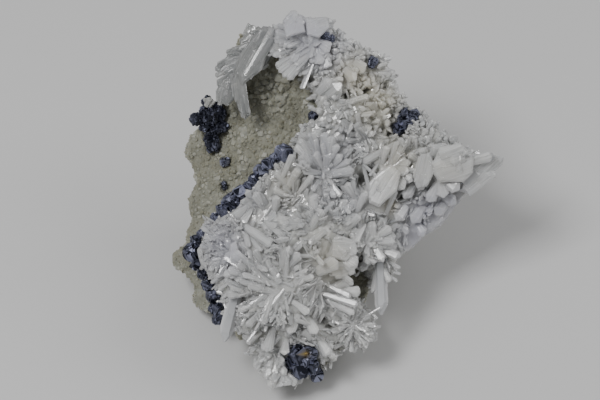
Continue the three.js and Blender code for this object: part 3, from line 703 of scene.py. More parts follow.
LOWER_RIGHT_SPRAY = [
    (13, -19, 20.2, -22.8, 1, 1.3, 0.9, 0.9), (13, -23, 19.2, -27.2, 0, 1.3, 0.9, 0.9),
    (12, -23, 11, -31.2, 1, 2.0, 0.9, 0.9), (12, -16, 20.2, -19.0, 2, 3.0, 0.7, 0.7),
    (10, -14, 18.4, -13.6, 4, 3.0, 0.6, 0.6), (10, -14, 17, -9, 4, 3.0, 0.6, 0.6),
    (9, -13, 9.5, -21.5, 5, 3.6, 0.6, 0.6), (9.5, -13, 14.6, -20.6, 4, 3.2, 0.6, 0.6),
    (8, -8, 4.5, -14.5, 4, 2.6, 0.7, 0.8), (2, -10, 6.5, -5, 4, 2.6, 0.7, 0.7),
    (-2, -13, 5.2, -17.5, 4, 6.4, 0.4, 0.7), (-3, -16, 5.6, -22, 3, 5.6, 0.4, 0.7),
    (-3, -22, 4.4, -28, 2, 2.4, 0.8, 0.7), (-5, -28, 3.6, -32, 3, 2.4, 0.7, 0.6),
    (-6, -31, 5.8, -34.6, 4, 2.4, 0.8, 0.8), (-5, -33, 4.8, -37.6, 4, 2.2, 0.8, 0.8),
    (13, -20, 16.6, -27.4, 2, 2.2, 0.8, 0.8), (11, -17, 7, -23.5, 3, 3.0, 0.7, 0.7),
]
FRONT_MASS = [
    (-32.5, -8.2, -22.6, -14.8, 6.5, 3.6, 0.5, 0.7), (-31.6, -9.4, -30.6, -15.8, 5, 2.4, 0.6, 0.8),
    (-30, -12, -26, -17, 5, 2.0, 0.6, 0.8), (-36, -14, -34.8, -21.4, 5, 3.0, 0.5, 0.7),
    (-26, -24.5, -35.6, -17.4, 4, 3.4, 0.4, 0.6), (-28, -26, -37.2, -23.0, 3, 2.6, 0.4, 0.6),
    (-26, -30, -37.6, -31.4, 2, 3.0, 0.5, 0.6), (-24, -34.6, -31.0, -42.0, 3, 2.8, 0.5, 0.6),
    (-16.6, -33, -10.4, -37.4, 5, 2.8, 0.5, 0.6), (-15, -27.4, -8.8, -25, 5, 2.4, 0.5, 0.6),
    (-18.4, -23, -13.2, -17.4, 6, 3.4, 0.5, 0.6), (-19.6, -22.4, -17.8, -15.4, 6, 3.8, 0.4, 0.6),
    (-25.4, -21.4, -28.4, -16.6, 6, 2.4, 0.5, 0.6), (-24, -15.4, -16.8, -14.8, 5, 0.9, 0.9, 1.0),
    (-9, -17, -5.6, -21.6, 5, 2.0, 0.7, 0.8), (-5, -10, -10.4, -14.6, 5, 2.6, 0.7, 0.8),
    (-8, -24, -1, -20, 4, 5.0, 0.4, 0.7), (-10, -10, -6, -3, 5, 3.4, 0.6, 0.7),
    (-25, -3, -28.6, 2.6, 4, 3.0, 0.6, 0.7), (-22, -5, -21, 1.5, 5, 3.0, 0.6, 0.6),
    (-17, -4, -12, -9, 5, 3.2, 0.6, 0.6), (-11, -39, -8, -44.5, 5, 3.4, 0.7, 0.8),
    (-14, -38, -17, -44, 5, 3.4, 0.7, 0.8), (-7, -46, -3.6, -51.6, 3, 3.6, 0.7, 0.8),
    (-5, -49, -1.4, -53.4, 1, 2.2, 0.8, 0.8), (-26, -44, -31, -47.6, 2, 2.2, 0.8, 0.8),
    (-26, -47, -30.6, -50.8, 1, 1.8, 0.8, 0.9), (-25, -50, -27.8, -56, 1, 3.2, 0.7, 0.8),
    (-22, -51, -22.4, -62.8, 1, 4.2, 0.7, 0.8), (-20, -55, -18, -61.6, 0, 3.6, 0.7, 0.8),
    (-12, -57, -14.4, -61.4, -2, 2.6, 0.8, 0.8), (-24, -52, -23.8, -59.6, 2, 3.4, 0.7, 0.8),
    (-37, -24, -43, -27.6, 1, 1.3, 0.9, 0.9), (-36, -24, -41.4, -25.6, 2, 1.2, 0.9, 0.9),
    (-36, -27, -40.6, -30, 1, 1.3, 0.9, 0.9), (-35, -29, -38.8, -32.4, 1, 1.3, 0.9, 0.9),
    (-20, -45, -26, -49.6, 4, 3.4, 0.6, 0.6), (-18, -46, -18.6, -51.4, 5, 3.2, 0.6, 0.6),
    (-22, -42, -24.4, -50.4, 4, 3.4, 0.7, 0.6),
]
# The clear prisms that hang over the edge at the left and the right, foot and tip as x, y, z, and width.
HANGING_PRISMS = [
    ((-34.0, -29, 7.0), (-38.8, -47.4, 5.4), 4.6), ((13.2, -17, -2.5), (14.0, -38.4, -0.2), 4.4),
]
# The tall blades over the hollow: foot and tip as x, y, z, width, thickness share, foot share.
TALL_BLADES = [
    ((-34.4, 44, -3), (-31.2, 27.2, -3), 3.4, 0.4, 0.9),
    ((-25.4, 56.4, -3.6), (-32, 42.4, -2), 3.0, 0.3, 0.8),
    ((-31, 47, -13), (-33, 48.6, -4), 6.4, 0.9, 0.9), ((-28, 55, -8), (-27.4, 58.2, -7.4), 4.0, 0.6, 0.9),
    ((-33, 44, -5), (-41.2, 38.4, -4.4), 2.8, 0.4, 0.7), ((-31, 50, -6), (-41, 44.6, -5), 2.6, 0.4, 0.7),
    ((-30, 52, -6.4), (-38, 49, -5.8), 2.4, 0.4, 0.7),
    ((-27, 50, -6.4), (-25.2, 43.6, -5.4), 3.6, 0.3, 0.8),
]

# Radiating groups of blades: x, y, reach, tiers, width share, arc in degrees, tone, height over the crust.
FANS = [
    (-19, -30, 17.5, 2, 0.14, (95, 290), 0.35, 0.3), (-5, 8.5, 13.5, 3, 0.2, (10, 165), 0.45, 0.5),
    (-5, 8.5, 8, 2, 0.26, (-120, 30), 0.35, 0.5), (4, -41.5, 9.6, 3, 0.12, (-175, 95), 0.25, 1.5),
    (4, -41.5, 7, 2, 0.2, (0, 360), 0.1, 2.2), (9, -14.5, 9.5, 3, 0.3, (-100, 90), 0.3, 0.5),
    (9, -14.5, 6.5, 2, 0.34, (60, 280), 0.3, 0.5), (-11, 54, 13, 3, 0.24, (150, 205), 0.6, 0.0),
    (-10, 52, 9, 2, 0.34, (20, 130), 0.5, 0.5), (-8.5, 51, 13, 3, 0.2, (218, 250), 0.5, 1.0),
    (-7, 51, 8, 2, 0.3, (250, 330), 0.5, 0.5),
    (17, 10.5, 9.5, 2, 0.34, (-70, 90), 0.5, 0.0), (31, 9.5, 11, 2, 0.4, (-60, 120), 0.5, 0.0),
    (-10, -9, 10, 2, 0.3, (60, 200), 0.5, 0.0), (-28, -1, 8, 2, 0.32, (40, 220), 0.55, 0.0),
    (-15, 3, 11, 3, 0.26, (50, 150), 0.3, 0.5), (8, 21, 10, 3, 0.26, (100, 200), 0.4, 0.5),
    (-1, -6, 9, 2, 0.34, (0, 150), 0.6, 0.0), (-3, -19, 10, 2, 0.5, (-60, 80), 0.3, 0.5),
    (-10, -46, 8, 2, 0.3, (120, 300), 0.3, 0.5), (-21, -50, 10, 3, 0.26, (150, 330), 0.35, 0.0),
    (-20, -56, 8, 2, 0.3, (180, 350), 0.4, 0.0), (-35, -18, 9, 2, 0.25, (100, 250), 0.8, 0.0),
    (5, 0, 9, 2, 0.34, (90, 250), 0.6, 0.0), (-30, -24, 9, 2, 0.3, (100, 220), 0.4, 0.5),
    (-4, -30, 9, 2, 0.3, (-80, 40), 0.4, 0.5), (-26, -8, 10, 2, 0.3, (-60, 60), 0.4, 0.5),
]
# Broad crystals seen flat on: outline, height at the middle, slope along x and y, thickness, tone.
CRUST_PLATES = [
    ([(9.2, 5.4), (9.6, -1), (12.9, -2.4), (18.8, 3.1), (20.2, 9), (17, 11.9),
     (13, 9.5)], 4.4, (0.05, -0.08), 2.2, 0.35),
    ([(30, 10), (33, 17.6), (38, 18.6), (43, 16.8), (44.6, 14), (44.2, 9), (41, 6),
     (33, 6)], 0.8, (-0.12, 0.02), 2.4, 0.5),
    ([(44.6, 15.2), (50, 15.4), (55, 14.2), (54.6, 12), (48.5, 6.4), (43.4, 1.8), (40, 3),
     (41, 9)], -5.6, (-0.28, 0), 3.0, 0.7),
    ([(24, 8), (26, 14.5), (30, 16), (32, 10), (29, 4.5), (25.5, 4)], 1.8, (-0.1, 0.1), 2.0, 0.55),
    ([(-2.5, -13), (4.4, -13.6), (6, -17), (2, -20.5), (-3, -19)], 9.4, (-0.25, 0.05), 2.0, 0.3),
    ([(-3, -20), (5.4, -20.6), (3.4, -24.6), (-1, -26), (-4, -24)], 7.4, (-0.25, 0.1), 2.0, 0.35),
    ([(-18, 54), (-19, 58.6), (-15.4, 62.4), (-12.4, 61.8), (-11.4, 56)], -1.4, (0, -0.5), 2.0, 0.6),
    ([(-11, 55), (-11.6, 60.6), (-8, 60.8), (-4.4, 61.2), (-3, 57.6), (-7, 54)], -1.2, (0, -0.45),
     2.0, 0.6),
    ([(-36.4, -14.6), (-34.4, -13.6), (-33.4, -18), (-34.4, -21.6), (-36.4, -20)], 9.8, (0.1, 0.1),
     1.4, 0.4),
]
# The plates of the tall group over the hollow, the same way.
TALL_PLATES = [
    ([(-21.4, 57.6), (-25.6, 58.2), (-29.1, 54.4), (-33.5, 48.6), (-35.2, 42.8), (-32.8, 38),
     (-26, 43.5), (-22.2, 54)], -3.4, (-0.05, -0.12), 2.0, 0.75),
    ([(-34.8, 43.6), (-36.4, 38), (-33.8, 30), (-31.6, 26.6), (-30.4, 29.8), (-32, 38),
     (-31.6, 42)], -2.6, (0, 0), 1.8, 0.7),
    ([(-35, 43.4), (-39, 40.6), (-41.6, 36.4), (-40.2, 32.6), (-37.4, 31.4),
     (-34, 35)], -4.6, (0.05, 0), 1.6, 0.8),
    ([(-41.8, 43.4), (-41.2, 45.2), (-37.8, 48), (-32, 49), (-34, 43),
     (-38.4, 41.4)], -5.6, (0.1, 0), 1.6, 0.85),
    ([(-38, 48.2), (-35.6, 51.2), (-30, 53), (-31, 48), (-36, 46)], -6.4, (0.1, 0), 1.5, 0.8),
    ([(-33.6, 53), (-31, 55.2), (-27.4, 56), (-29, 51), (-33, 51)], -7.2, (0.1, 0), 1.5, 0.8),
    ([(-32.8, 55.4), (-30.8, 59.4), (-27.4, 57.2), (-29.6, 53)], -8.4, (0.1, 0), 2.0, 0.7),
    ([(-25, 58), (-21.6, 57.8), (-21.6, 50), (-24.6, 45), (-27, 47)], -5.8, (0, 0), 1.8, 0.85),
]
# Small white crystals on top of the left galena cluster: foot, tip, width.
WHITE_TIPS = [
    ((-44.8, 31.6, -13), (-43.4, 34.6, -10.2), 1.9), ((-44.2, 31.8, -13), (-45.6, 34.4, -11), 1.3),
    ((-43.8, 31.4, -13), (-42.0, 33.4, -11), 1.2),
]
# Small dark openings between crystals, dug into the crust and painted dark as shade: x, y, radius, depth.
OPENINGS = [
    (10.4, 9.6, 1.1, 5), (7.4, 7, 1.5, 4), (8.4, -11.6, 0.9, 4), (6, -20.4, 1.2, 5), (7.2, -27, 2.0, 5),
    (-21.6, -14.8, 0.8, 4), (-21, -17.4, 0.7, 3), (8.4, 36.4, 1.1, 4), (15.6, 22.4, 1.2, 4),
    (-6, -39.6, 1.3, 3.5), (-3.4, -42, 1.2, 3.5), (-0.6, -49, 1.1, 3), (22, 12, 1.1, 3), (1, 4, 1.2, 3),
    (-25, -13, 0.9, 3), (20, 1.4, 1.2, 3), (3.4, -26.6, 1.1, 4), (15, 38, 1.0, 3), (2, 35, 1.0, 3),
    (-10, 40, 1.1, 3), (-12.3, 14.6, 1.2, 4),
]


FINE_SPLIT = -6.0  # y on the face where the fine growth's upper piece ends
SHEAF_SPACING = 2.3  # mm between places where small growth starts
SUGAR_SPACING = 1.9
GRAIN_SPACING = 1.25
SIDE_GRAIN_SPACING = 2.6
PATCH_SPACING = 1.8


def add_listed(crust, rows):
    """The crystals of a table, each kept clear of the small growth."""
    for x, y, tip_x, tip_y, rise, width, thickness, foot_share in rows:
        level, _ = crust.level(x, y)
        below, _ = crust.level(tip_x, tip_y)
        if level is not None:
            tip_z = level + 0.75 * rise
            tip_z = tip_z if below is None else max(tip_z, below + 1.6)
            crust.add(
                (x, y, level - 0.2), (tip_x, tip_y, tip_z), width, thickness * 0.8,
                foot_share=foot_share * 0.9, roll=rng.gauss(0, 0.12), free=True,
            )


def surface_points(made, spacing, keep):
    """Points of a surface at least spacing apart, with normals, where keep(points, normals) holds."""
    mesh = made.data
    mesh.calc_loop_triangles()
    corners = coordinates(made)
    triangles = np.empty(len(mesh.loop_triangles) * 3, int)
    mesh.loop_triangles.foreach_get("vertices", triangles)
    a, b, c = (corners[triangles.reshape(-1, 3)[:, i]] for i in range(3))
    cross = np.cross(b - a, c - a)
    area = np.linalg.norm(cross, axis=1) / 2
    dice = np.random.default_rng(rng.randrange(10**9))
    picks = dice.choice(len(area), size=int(area.sum() / spacing**2 * 4), p=area / area.sum())
    u, v = dice.random(len(picks)), dice.random(len(picks))
    u, v = np.where(u + v > 1, 1 - u, u), np.where(u + v > 1, 1 - v, v)
    points = a[picks] + u[:, None] * (b - a)[picks] + v[:, None] * (c - a)[picks]
    normals = cross[picks] / (2 * area[picks, None] + 1e-12)
    kept = keep(points, normals)
    found, cells = [], {}
    for p, n in zip(points[kept], normals[kept]):
        x, y, z = (int(math.floor(q / spacing)) for q in p)
        near = (
            other
            for dx, dy, dz in itertools.product((-1, 0, 1), repeat=3)
            for other in cells.get((x + dx, y + dy, z + dz), ())
        )
        if all((p[0] - q[0]) ** 2 + (p[1] - q[1]) ** 2 + (p[2] - q[2]) ** 2 > spacing**2 for q in near):
            cells.setdefault((x, y, z), []).append(p)
            found.append((Vector(p), Vector(n)))
    return found


def lumps(points, scale, seed):
    """Rounded lumps, 0 in the seams to about 1 on top, for a list of points."""
    shift = Vector((seed * 17.3, seed * 5.1, seed * 9.7))
    return np.array([1.0 - min(1.0, noise.voronoi(Vector(p) / scale + shift)[0][0] * 1.6) for p in points])


def waves(points, scale, seed, octaves=3):
    """Soft irregular relief, about -1 to 1."""
    shift = Vector((seed * 13.7, seed * 3.9, seed * 7.1))
    return np.array([noise.fractal(Vector(p) / scale + shift, 0.6, 2.1, octaves) for p in points])


def facets(points, scale, seed):
    """Broken faces: each cell of about that size is a small plane with its own tilt."""
    shift = Vector((seed * 7.7, seed * 2.9, seed * 11.3))
    found = []
    for p in points:
        q = Vector(p) / scale + shift
        cell = noise.voronoi(q)[1][0]
        tilt = noise.cell_vector(cell * 13.7) - Vector((0.5, 0.5, 0.5))
        found.append((q - cell).dot(tilt) * 1.5 + tilt.x * 0.7)
    return np.array(found)


def upper_field(x, y):
    """The stubby, rounded growth at the upper right."""
    return ((y > 23) & (x > -12) & ((y < 45) | (x > -5))) | ((x > 18) & (y > 17))


def stubby_field(x, y):
    """The grey lumps right of the middle."""
    return np.hypot((x - 25) / 9, (y + 3) / 5) < 1


def fine_druse(x, y):
    """Where the crust is sugary: left of the front mass, along the galena and along the upper right rim."""
    by_galena = (depth_inside(CRUST_OUTLINE, x, y) < 4.5) & (x < -12) & (y > -26) & (y < 16)
    at_left = (x < -36) & (-24 < y) & (y < -4)
    return by_galena | at_left | (upper_field(x, y) & (depth_inside(FACE_EDGE, x, y) < 5))


def smooth_band(x, y):
    """The smooth fracture along the lower right edge and the tip."""
    return (depth_inside(FACE_EDGE, x, y) < 6.5) & (x > 19) & (y < 0.9 * x - 33)


def near_opening(x, y):
    near = np.zeros(np.shape(x), bool)
    for ox, oy, radius, _ in OPENINGS:
        near |= np.hypot(x - ox, y - oy) < radius + 0.3
    return near


# Where the small growth radiates from, x and y on the face.
CENTRES = [
    (-19, -30), (4, -41.5), (9, -14.5), (-5, 8.5), (17, 10.5), (31, 9.5), (-11, 52), (-15, 3), (-8, -8),
    (-34, -17), (-2, -21), (-12, -44), (-21, -50), (8, 0), (24, -4), (-26, -5), (4, 26), (44, 10),
]


def crust_base():
    """The body under the quartz crystals, with small lumps, breaks and openings."""
    base = face_copy("quartz_crust", CRUST_VOXEL)
    smoothed(base, 3)
    points, normals = coordinates(base), vertex_normals(base)
    rough = 0.3 * lumps(points, 3.4, 1) + 0.3 * waves(points, 6.0, 2) + 0.35 * facets(points, 2.6, 4) - 0.4
    points += normals * rough[:, None]
    for x, y, radius, depth in OPENINGS:
        near = np.exp(-((points[:, 0] - x) ** 2 + (points[:, 1] - y) ** 2) / (2 * radius**2))
        points[:, 2] -= depth * near * (normals[:, 2] > 0.2)
    set_coordinates(base, points)
    tag(base, tone=GAP_SHADE_MARK)
    # Mark the crust's own faces, which the quartz look paints a darker grey as shade.
    return base


def on_top(points, normals):
    """Where the crust faces out and is neither an opening nor the smooth fracture."""
    x, y = points[:, 0], points[:, 1]
    return (normals[:, 2] > 0.3) & ~near_opening(x, y) & ~smooth_band(x, y)


def on_fine_parts(points, normals):
    """Where the crust's sides or its sugary parts show."""
    x, y = points[:, 0], points[:, 1]
    return (normals[:, 2] > -0.9) & ((normals[:, 2] < 0.35) | fine_druse(x, y)) & ~smooth_band(x, y)


def stubby_growth(crust, into, p, n):
    """A few blunt crystals at a point of the crust."""
    for _ in range(5):
        way = (n + scattered(0.7, 0.7, up=0.1)).normalized()
        foot = p + scattered(1.1, 1.1, up=0) - way
        crust.add(
            foot, foot + way * rng.uniform(1.8, 4.4), rng.uniform(0.9, 3.2), rng.uniform(0.45, 0.8),
            towards=(1, 0.2, 0), roll=rng.uniform(0, 3), pointed=rng.uniform(0.8, 1.6),
            filler=True, into=into,
        )


def radiating_growth(crust, into, p, n):
    """A sheaf that points away from the nearest centre, long at the front."""
    near = min(CENTRES, key=lambda c: math.hypot(p.x - c[0], p.y - c[1]))
    away = math.hypot(p.x - near[0], p.y - near[1])
    angle = math.atan2(p.y - near[1], p.x - near[0]) + rng.gauss(0, 0.4 if away > 5 else 1.2)
    edge = inside_face(p) and not inside_face(p, 6.0)
    size = rng.uniform(0.5, 1.2)
    front = distance_to_front(p) < FRONT_REACH
    reach, width = (7.0, 2.0) if front else (4.8, 1.6)
    stand = rng.uniform(0.05, 0.4 if edge or front else 0.9)
    sheaf(crust, into, p, n, angle, reach * size, width * size, stand)


def sugary_growth(crust, into, p, n):
    """Two needles at a point of the crust."""
    for _ in range(2):
        way = (n + scattered(0.6, 0.6, 0.3)).normalized()
        size = rng.uniform(0.6, 1.5)
        start = p + scattered(0.8, 0.8, 0.3)
        crust.add(
            start - way * 0.8, start + way * size * rng.uniform(0.9, 2.0), size, rng.uniform(0.5, 0.9),
            towards=(0.3, 1, 0.2), roll=rng.uniform(0, 3), templates=NEEDLES,
            filler=True, into=into, over=1.2,
        )


DRUSE_COUNT = 110


def white_druse():
    """The white crystals that have grown over the lower right part of the galena in its pocket."""
    solids = []
    for _ in range(DRUSE_COUNT):
        x, y = rng.gauss(25.4, 1.5), rng.gauss(22.8, 1.6)
        start = Vector((x, y, -2.6 - 0.25 * (x - 24) + 0.1 * (y - 22)))
        way = scattered(0.7, 0.7, up=1).normalized()
        tip = start + way * rng.uniform(0.6, 2.2)
        width, roll = rng.uniform(0.5, 1.2), rng.uniform(0, 3)
        solids.append(crystal(start - way, tip, width, 0.8, tone=0.0, roll=roll, templates=NEEDLES))
    return solids


def build_crust():
    """The quartz in three pieces: the crust with its larger crystals, and the fine growth of each half."""
    base = crust_base()
    crust = Crust(base)
    for rows in (TOP_FAN, UPPER_SPRAY, MIDDLE_SPRAY, RIGHT_SPRAY, LOWER_RIGHT_SPRAY, FRONT_MASS):
        add_listed(crust, rows)
    for row in CRUST_PLATES:
        crust.add_plate(*row)
    for row in FANS:
        fan(crust, *row)
    upper, lower = [], []
    for p, n in surface_points(base, SHEAF_SPACING, on_top):
        grow = stubby_growth if upper_field(p.x, p.y) or stubby_field(p.x, p.y) else radiating_growth
        grow(crust, upper if p.y > FINE_SPLIT else lower, p, n)
    for p, n in surface_points(base, SUGAR_SPACING, on_fine_parts):
        sugary_growth(crust, upper if p.y > FINE_SPLIT else lower, p, n)
    upper += white_druse()
    pieces = [union("quartz_crust_growth", base, crust.crystals)]
    for name, solids in (("quartz_growth_upper", upper), ("quartz_growth_lower", lower)):
        pieces.append(joined(name, solids))
    return pieces


def joined(name, solids):
    """One closed body from a list of solids."""
    first = new_object(name, solids[0])
    bpy.context.scene.collection.objects.link(first)
    return union(name, first, solids[1:])


def build_blades():
    """The tall group over the hollow: blades, plates, and the small blades along them."""
    solids = [crystal((-30, 50, -16), (-30.5, 49, -7), 6, 0.9)]
    for foot, tip, width, thick, share in TALL_BLADES:
        solids.append(crystal(
            foot, tip, width, thick, foot_share=share, roll=rng.gauss(0, 0.07), tone=rng.uniform(0.75, 1),
            pointed=0.8,
        ))
    for row in TALL_PLATES:
        solids += stepped_plate(*row)
    for foot, tip, width in WHITE_TIPS:
        solids.append(crystal(foot, tip, width, 0.8, tone=0.0))
    for foot, tip, width, thick, _ in TALL_BLADES[:2] + TALL_BLADES[4:7]:
        for _ in range(3):
            t = rng.uniform(0.05, 0.8)
            side = rng.uniform(-0.8, 0.8) * width
            p = Vector(foot).lerp(Vector(tip), t) + Vector((side, 0, width * thick * 0.2))
            way = (Vector(tip) - Vector(foot)).normalized() + scattered(0.1, 0.1, up=0.03)
            end = p + way * rng.uniform(3, 7)
            if inside_face(end):
                solids.append(crystal(p, end, rng.uniform(1.2, 2.6), 0.3, tone=rng.uniform(0.5, 1)))
    return joined("quartz_blade_growth", solids)


PART_TURN = np.array(FACE.to_3x3())
PART_START = np.array(FACE.translation)


def rock_base():
    """The rock's body: lumps and pits in front, broken faces at the sides and behind, a flat foot."""
    base = face_copy("host_rock", ROCK_VOXEL)
    smoothed(base, 2)
    points, normals = coordinates(base), vertex_normals(base)
    front = np.clip((normals[:, 2] - 0.1) / 0.4, 0, 1)
    hollow = np.exp(-((points[:, 0] + 24) ** 2 + (points[:, 1] - 32) ** 2) / 200)
    lumpy = (1.1 + 1.0 * hollow) * lumps(points, 4.2, 3) + 0.5 * lumps(points, 2.0, 4) - 0.7 - 0.5 * hollow
    broken = 0.8 * waves(points, 9.0, 5, 4) + 1.5 * facets(points, 7.0, 2)
    broken = broken + 0.8 * facets(points, 3.2, 6) - 0.4
    to_crust = depth_inside(CRUST_OUTLINE, points[:, 0], points[:, 1])
    seam = np.exp(-(to_crust / 2.0) ** 2) * (normals[:, 2] > 0.2)
    shift = front * lumpy + (1 - front) * broken + 0.5 * seam
    points += normals * shift[:, None]
    low, high = np.array(BOX_LOW) / MM + ROCK_MARGIN, np.array(BOX_HIGH) / MM - ROCK_MARGIN
    set_coordinates(base, (part_millimetres(points).clip(low, high) - PART_START) @ PART_TURN)
    tag(base, tone=0.4)
    return base


def part_millimetres(points):
    return points @ PART_TURN.T + PART_START


def on_bare_rock(points, normals):
    """Where the rock's front shows beside the crust."""
    return (normals[:, 2] > 0.05) & (depth_inside(CRUST_OUTLINE, points[:, 0], points[:, 1]) < 1.0)


def on_rock_side(points, normals):
    """The sides and the back, clear of the foot."""
    return (normals[:, 2] < 0.05) & (part_millimetres(points)[:, 2] > 2.0)


def in_crystal_patch(points, normals):
    """The group of greyish crystals in the hollow."""
    return (normals[:, 2] > 0.3) & (np.hypot((points[:, 0] + 22) / 5, (points[:, 1] - 37) / 5.5) < 1)


def build_rock():
    """The host rock with its grains, coarser and more varied in the hollow."""
    base = rock_base()
    solids = []
    for p, n in surface_points(base, GRAIN_SPACING, on_bare_rock):
        coarse = 1 / (1 + math.exp(-(p.x + 40) / 4))
        local = noise.noise(p / 3.5)
        size = (rng.uniform(0.7, 1.5) + coarse * rng.uniform(0, 1.5)) * (1 + 0.7 * local)
        tone = min(max(0.5 + 0.9 * local + rng.gauss(0, 0.22), 0), 1)
        solids.append(grain(p - n * size * rng.uniform(0, 0.2), size, tone))
    for p, n in surface_points(base, SIDE_GRAIN_SPACING, on_rock_side):
        size = rng.uniform(0.8, 1.6) if rng.random() < 0.85 else rng.uniform(1.6, 3.4)
        solids.append(grain(p - n * size * 0.15, size, rng.uniform(0.3, 0.9)))
    for p, n in surface_points(base, PATCH_SPACING, in_crystal_patch):
        way = (n + scattered(0.5, 0.5, up=0.2)).normalized()
        solids.append(crystal(
            p - way, p + way * rng.uniform(1.2, 2.8), rng.uniform(1.6, 3.2), 0.8, tone=1.0,
            towards=(1, 0.3, 0), roll=rng.uniform(0, 3),
        ))
    return union("rock_body", base, [s for s in solids if in_box(s[0].mean(0))])


# Galena crystals: centre x, y, z, size across the cube faces, turn about x, y and z in degrees.
GALENA = {
    "galena_rim_upper": [
        (-18.8, 15.6, 0, 5.4, 20, 35, 10), (-21.6, 14.0, -0.6, 3.2, 50, 10, 30),
        (-23.8, 12.2, -0.2, 4.2, 15, 60, 25), (-26.4, 9.6, -0.2, 4.4, 70, 30, 5),
        (-28.6, 7.2, -0.6, 3.4, 25, 45, 60), (-30.6, 4.9, -0.8, 3.0, 10, 25, 40),
        (-33.2, 2.0, -1.4, 4.8, 60, 15, 35), (-36.2, -0.6, -1.6, 5.8, 20, 40, 55),
        (-39.4, -3.6, -2, 4.0, 35, 10, 15), (-41.8, -5.8, -2.4, 2.8, 5, 50, 30),
    ],
    "galena_rim_lower": [
        (-46.2, -11.2, -4, 3.0, 15, 50, 35), (-48.2, -13.8, -4.4, 3.8, 40, 20, 5),
        (-49.2, -17.4, -5, 6.0, 30, 40, 50), (-48, -21.6, -6, 3.8, 20, 15, 65),
        (-46, -24.8, -7, 3.4, 50, 35, 25), (-44.2, -28.2, -8, 4.0, 10, 55, 40),
        (-42.6, -32, -9, 4.6, 35, 25, 15), (-41.4, -36, -10, 4.8, 65, 45, 30),
        (-40.6, -39.8, -11, 4.2, 25, 10, 55),
    ],
    "galena_left_cluster": [
        (-44.2, 28.6, -15, 6.4, 25, 40, 15), (-48.4, 27.2, -15, 4.4, 50, 15, 35),
        (-40.8, 28.8, -17, 5.2, 15, 60, 45), (-44.4, 33, -15, 4.2, 35, 25, 60),
        (-42.4, 23.6, -18, 5.4, 60, 30, 10), (-45.6, 24.6, -16.4, 3.6, 10, 30, 50),
        (-42.8, 18.6, -19, 5.0, 20, 50, 30), (-39.6, 25, -18, 4.2, 40, 10, 20),
        (-44, 20.6, -18, 3.8, 55, 35, 5), (-41, 31.6, -17, 3.6, 30, 5, 40),
    ],
    "galena_base_cluster": [
        (-14, -51.6, 5.4, 6.0, 30, 20, 40), (-10.2, -51.2, 4.6, 4.8, 55, 40, 15),
        (-13.6, -56.4, 4.4, 5.8, 15, 10, 20), (-9.8, -55.4, 3.6, 5.0, 40, 55, 35),
        (-7.8, -58.2, 1, 4.2, 50, 25, 10), (-16.6, -54.2, 3.6, 4.2, 5, 35, 25),
        (-11.6, -53.8, 5.4, 3.8, 20, 60, 10),
    ],
    "galena_right_pocket": [
        (22.2, 26.2, -3.8, 5.8, 35, 20, 25), (24.6, 28.4, -4, 4.0, 15, 50, 40),
        (19.4, 23.8, -3.8, 4.0, 60, 30, 15), (21.6, 29.2, -4.4, 3.4, 25, 10, 55),
        (25.0, 25.4, -4.6, 3.0, 45, 35, 5),
    ],
    "galena_bead_middle": [(-8.6, 27.8, -6, 3.8, 30, 25, 15), (-7.4, 28.8, -5.8, 2.0, 10, 55, 35)],
    "galena_bead_top": [(-4.8, 55, -2.4, 3.2, 20, 45, 35), (-3, 54, -2.4, 2.6, 50, 5, 20)],
    "galena_bead_upper_right": [(11.2, 46.4, -4, 3.0, 40, 15, 50), (10.6, 45, -3.6, 2.2, 10, 40, 5)],
    "galena_speck_upper": [(-38.8, 12.8, -17, 3.0, 25, 35, 20), (-37.8, 13.6, -17, 1.8, 60, 5, 50)],
    "galena_speck_lower": [(-38.8, 4.2, -17, 1.8, 50, 20, 40), (-38.9, 5.6, -17, 1.6, 15, 60, 10)],
}


# How finely each group is grown over with small crystals, and the darkest and lightest tone of its faces.
COMMON_GALENA_LOOK = (0.4, 0.0, 0.9)
GALENA_LOOKS = {
    "galena_left_cluster": (1.0, 0.1, 0.6), "galena_rim_lower": (0.35, 0.1, 0.8),
    "galena_rim_upper": (0.2, 0.15, 1.0), "galena_base_cluster": (0.2, 0.05, 1.0),
    "galena_right_pocket": (0.4, 0.0, 0.8),
}


def galena_crystal(centre, half, turn, corner, tones):
    """A cube with trimmed corners; corner is the share of each edge that stays."""
    signs = (-1.0, 1.0)
    points = [
        p for a in signs for b in signs for c in (-corner, corner)
        for p in ((a, b, c), (a, c, b), (c, a, b))
    ]
    vertices, faces = hull_of_points(points)
    placed = np.array(centre) + (vertices * half) @ np.array(turn).T
    return placed, faces, dict(tone=np.array([rng.uniform(*tones) for _ in faces]), seed=rng.random())


def galena_growth(rows, fineness, *tones):
    """Main crystals with terraced faces and smaller crystals around them."""
    solids = []
    for x, y, z, size, *angles in rows:
        about_x, about_y, about_z = (
            Matrix.Rotation(math.radians(angle), 3, axis) for angle, axis in zip(angles, "XYZ")
        )
        turn = about_z @ about_y @ about_x
        centre, half = Vector((x, y, z)), size * 0.44
        middle = half * (1 - 0.3 * fineness)
        solids.append(galena_crystal(centre, middle, turn, rng.uniform(0.45, 0.75), tones))
        for axis, sign in itertools.product(range(3), (-1, 1)):
            out = Vector([rng.uniform(-0.3, 0.3) * half for _ in range(3)])
            out[axis] = sign * half * rng.uniform(0.3, 0.5)
            little = half * rng.uniform(0.5, 0.72) * (1 - 0.25 * fineness)
            solids.append(galena_crystal(centre + turn @ out, little, turn, rng.uniform(0.5, 0.85), tones))
        for _ in range(round(4 + 46 * fineness)):
            way = Vector((rng.gauss(0, 1), rng.gauss(0, 1), rng.gauss(0, 0.8) + 0.3)).normalized()
            little = half * rng.uniform(0.18, 0.42) * (1 - 0.35 * fineness)
            tilt = Matrix.Rotation(rng.uniform(-0.9, 0.9), 3, way)
            place = centre + way * half * rng.uniform(0.75, 1.08)
            solids.append(galena_crystal(place, little, tilt @ turn, rng.uniform(0.3, 0.9), tones))
    return solids


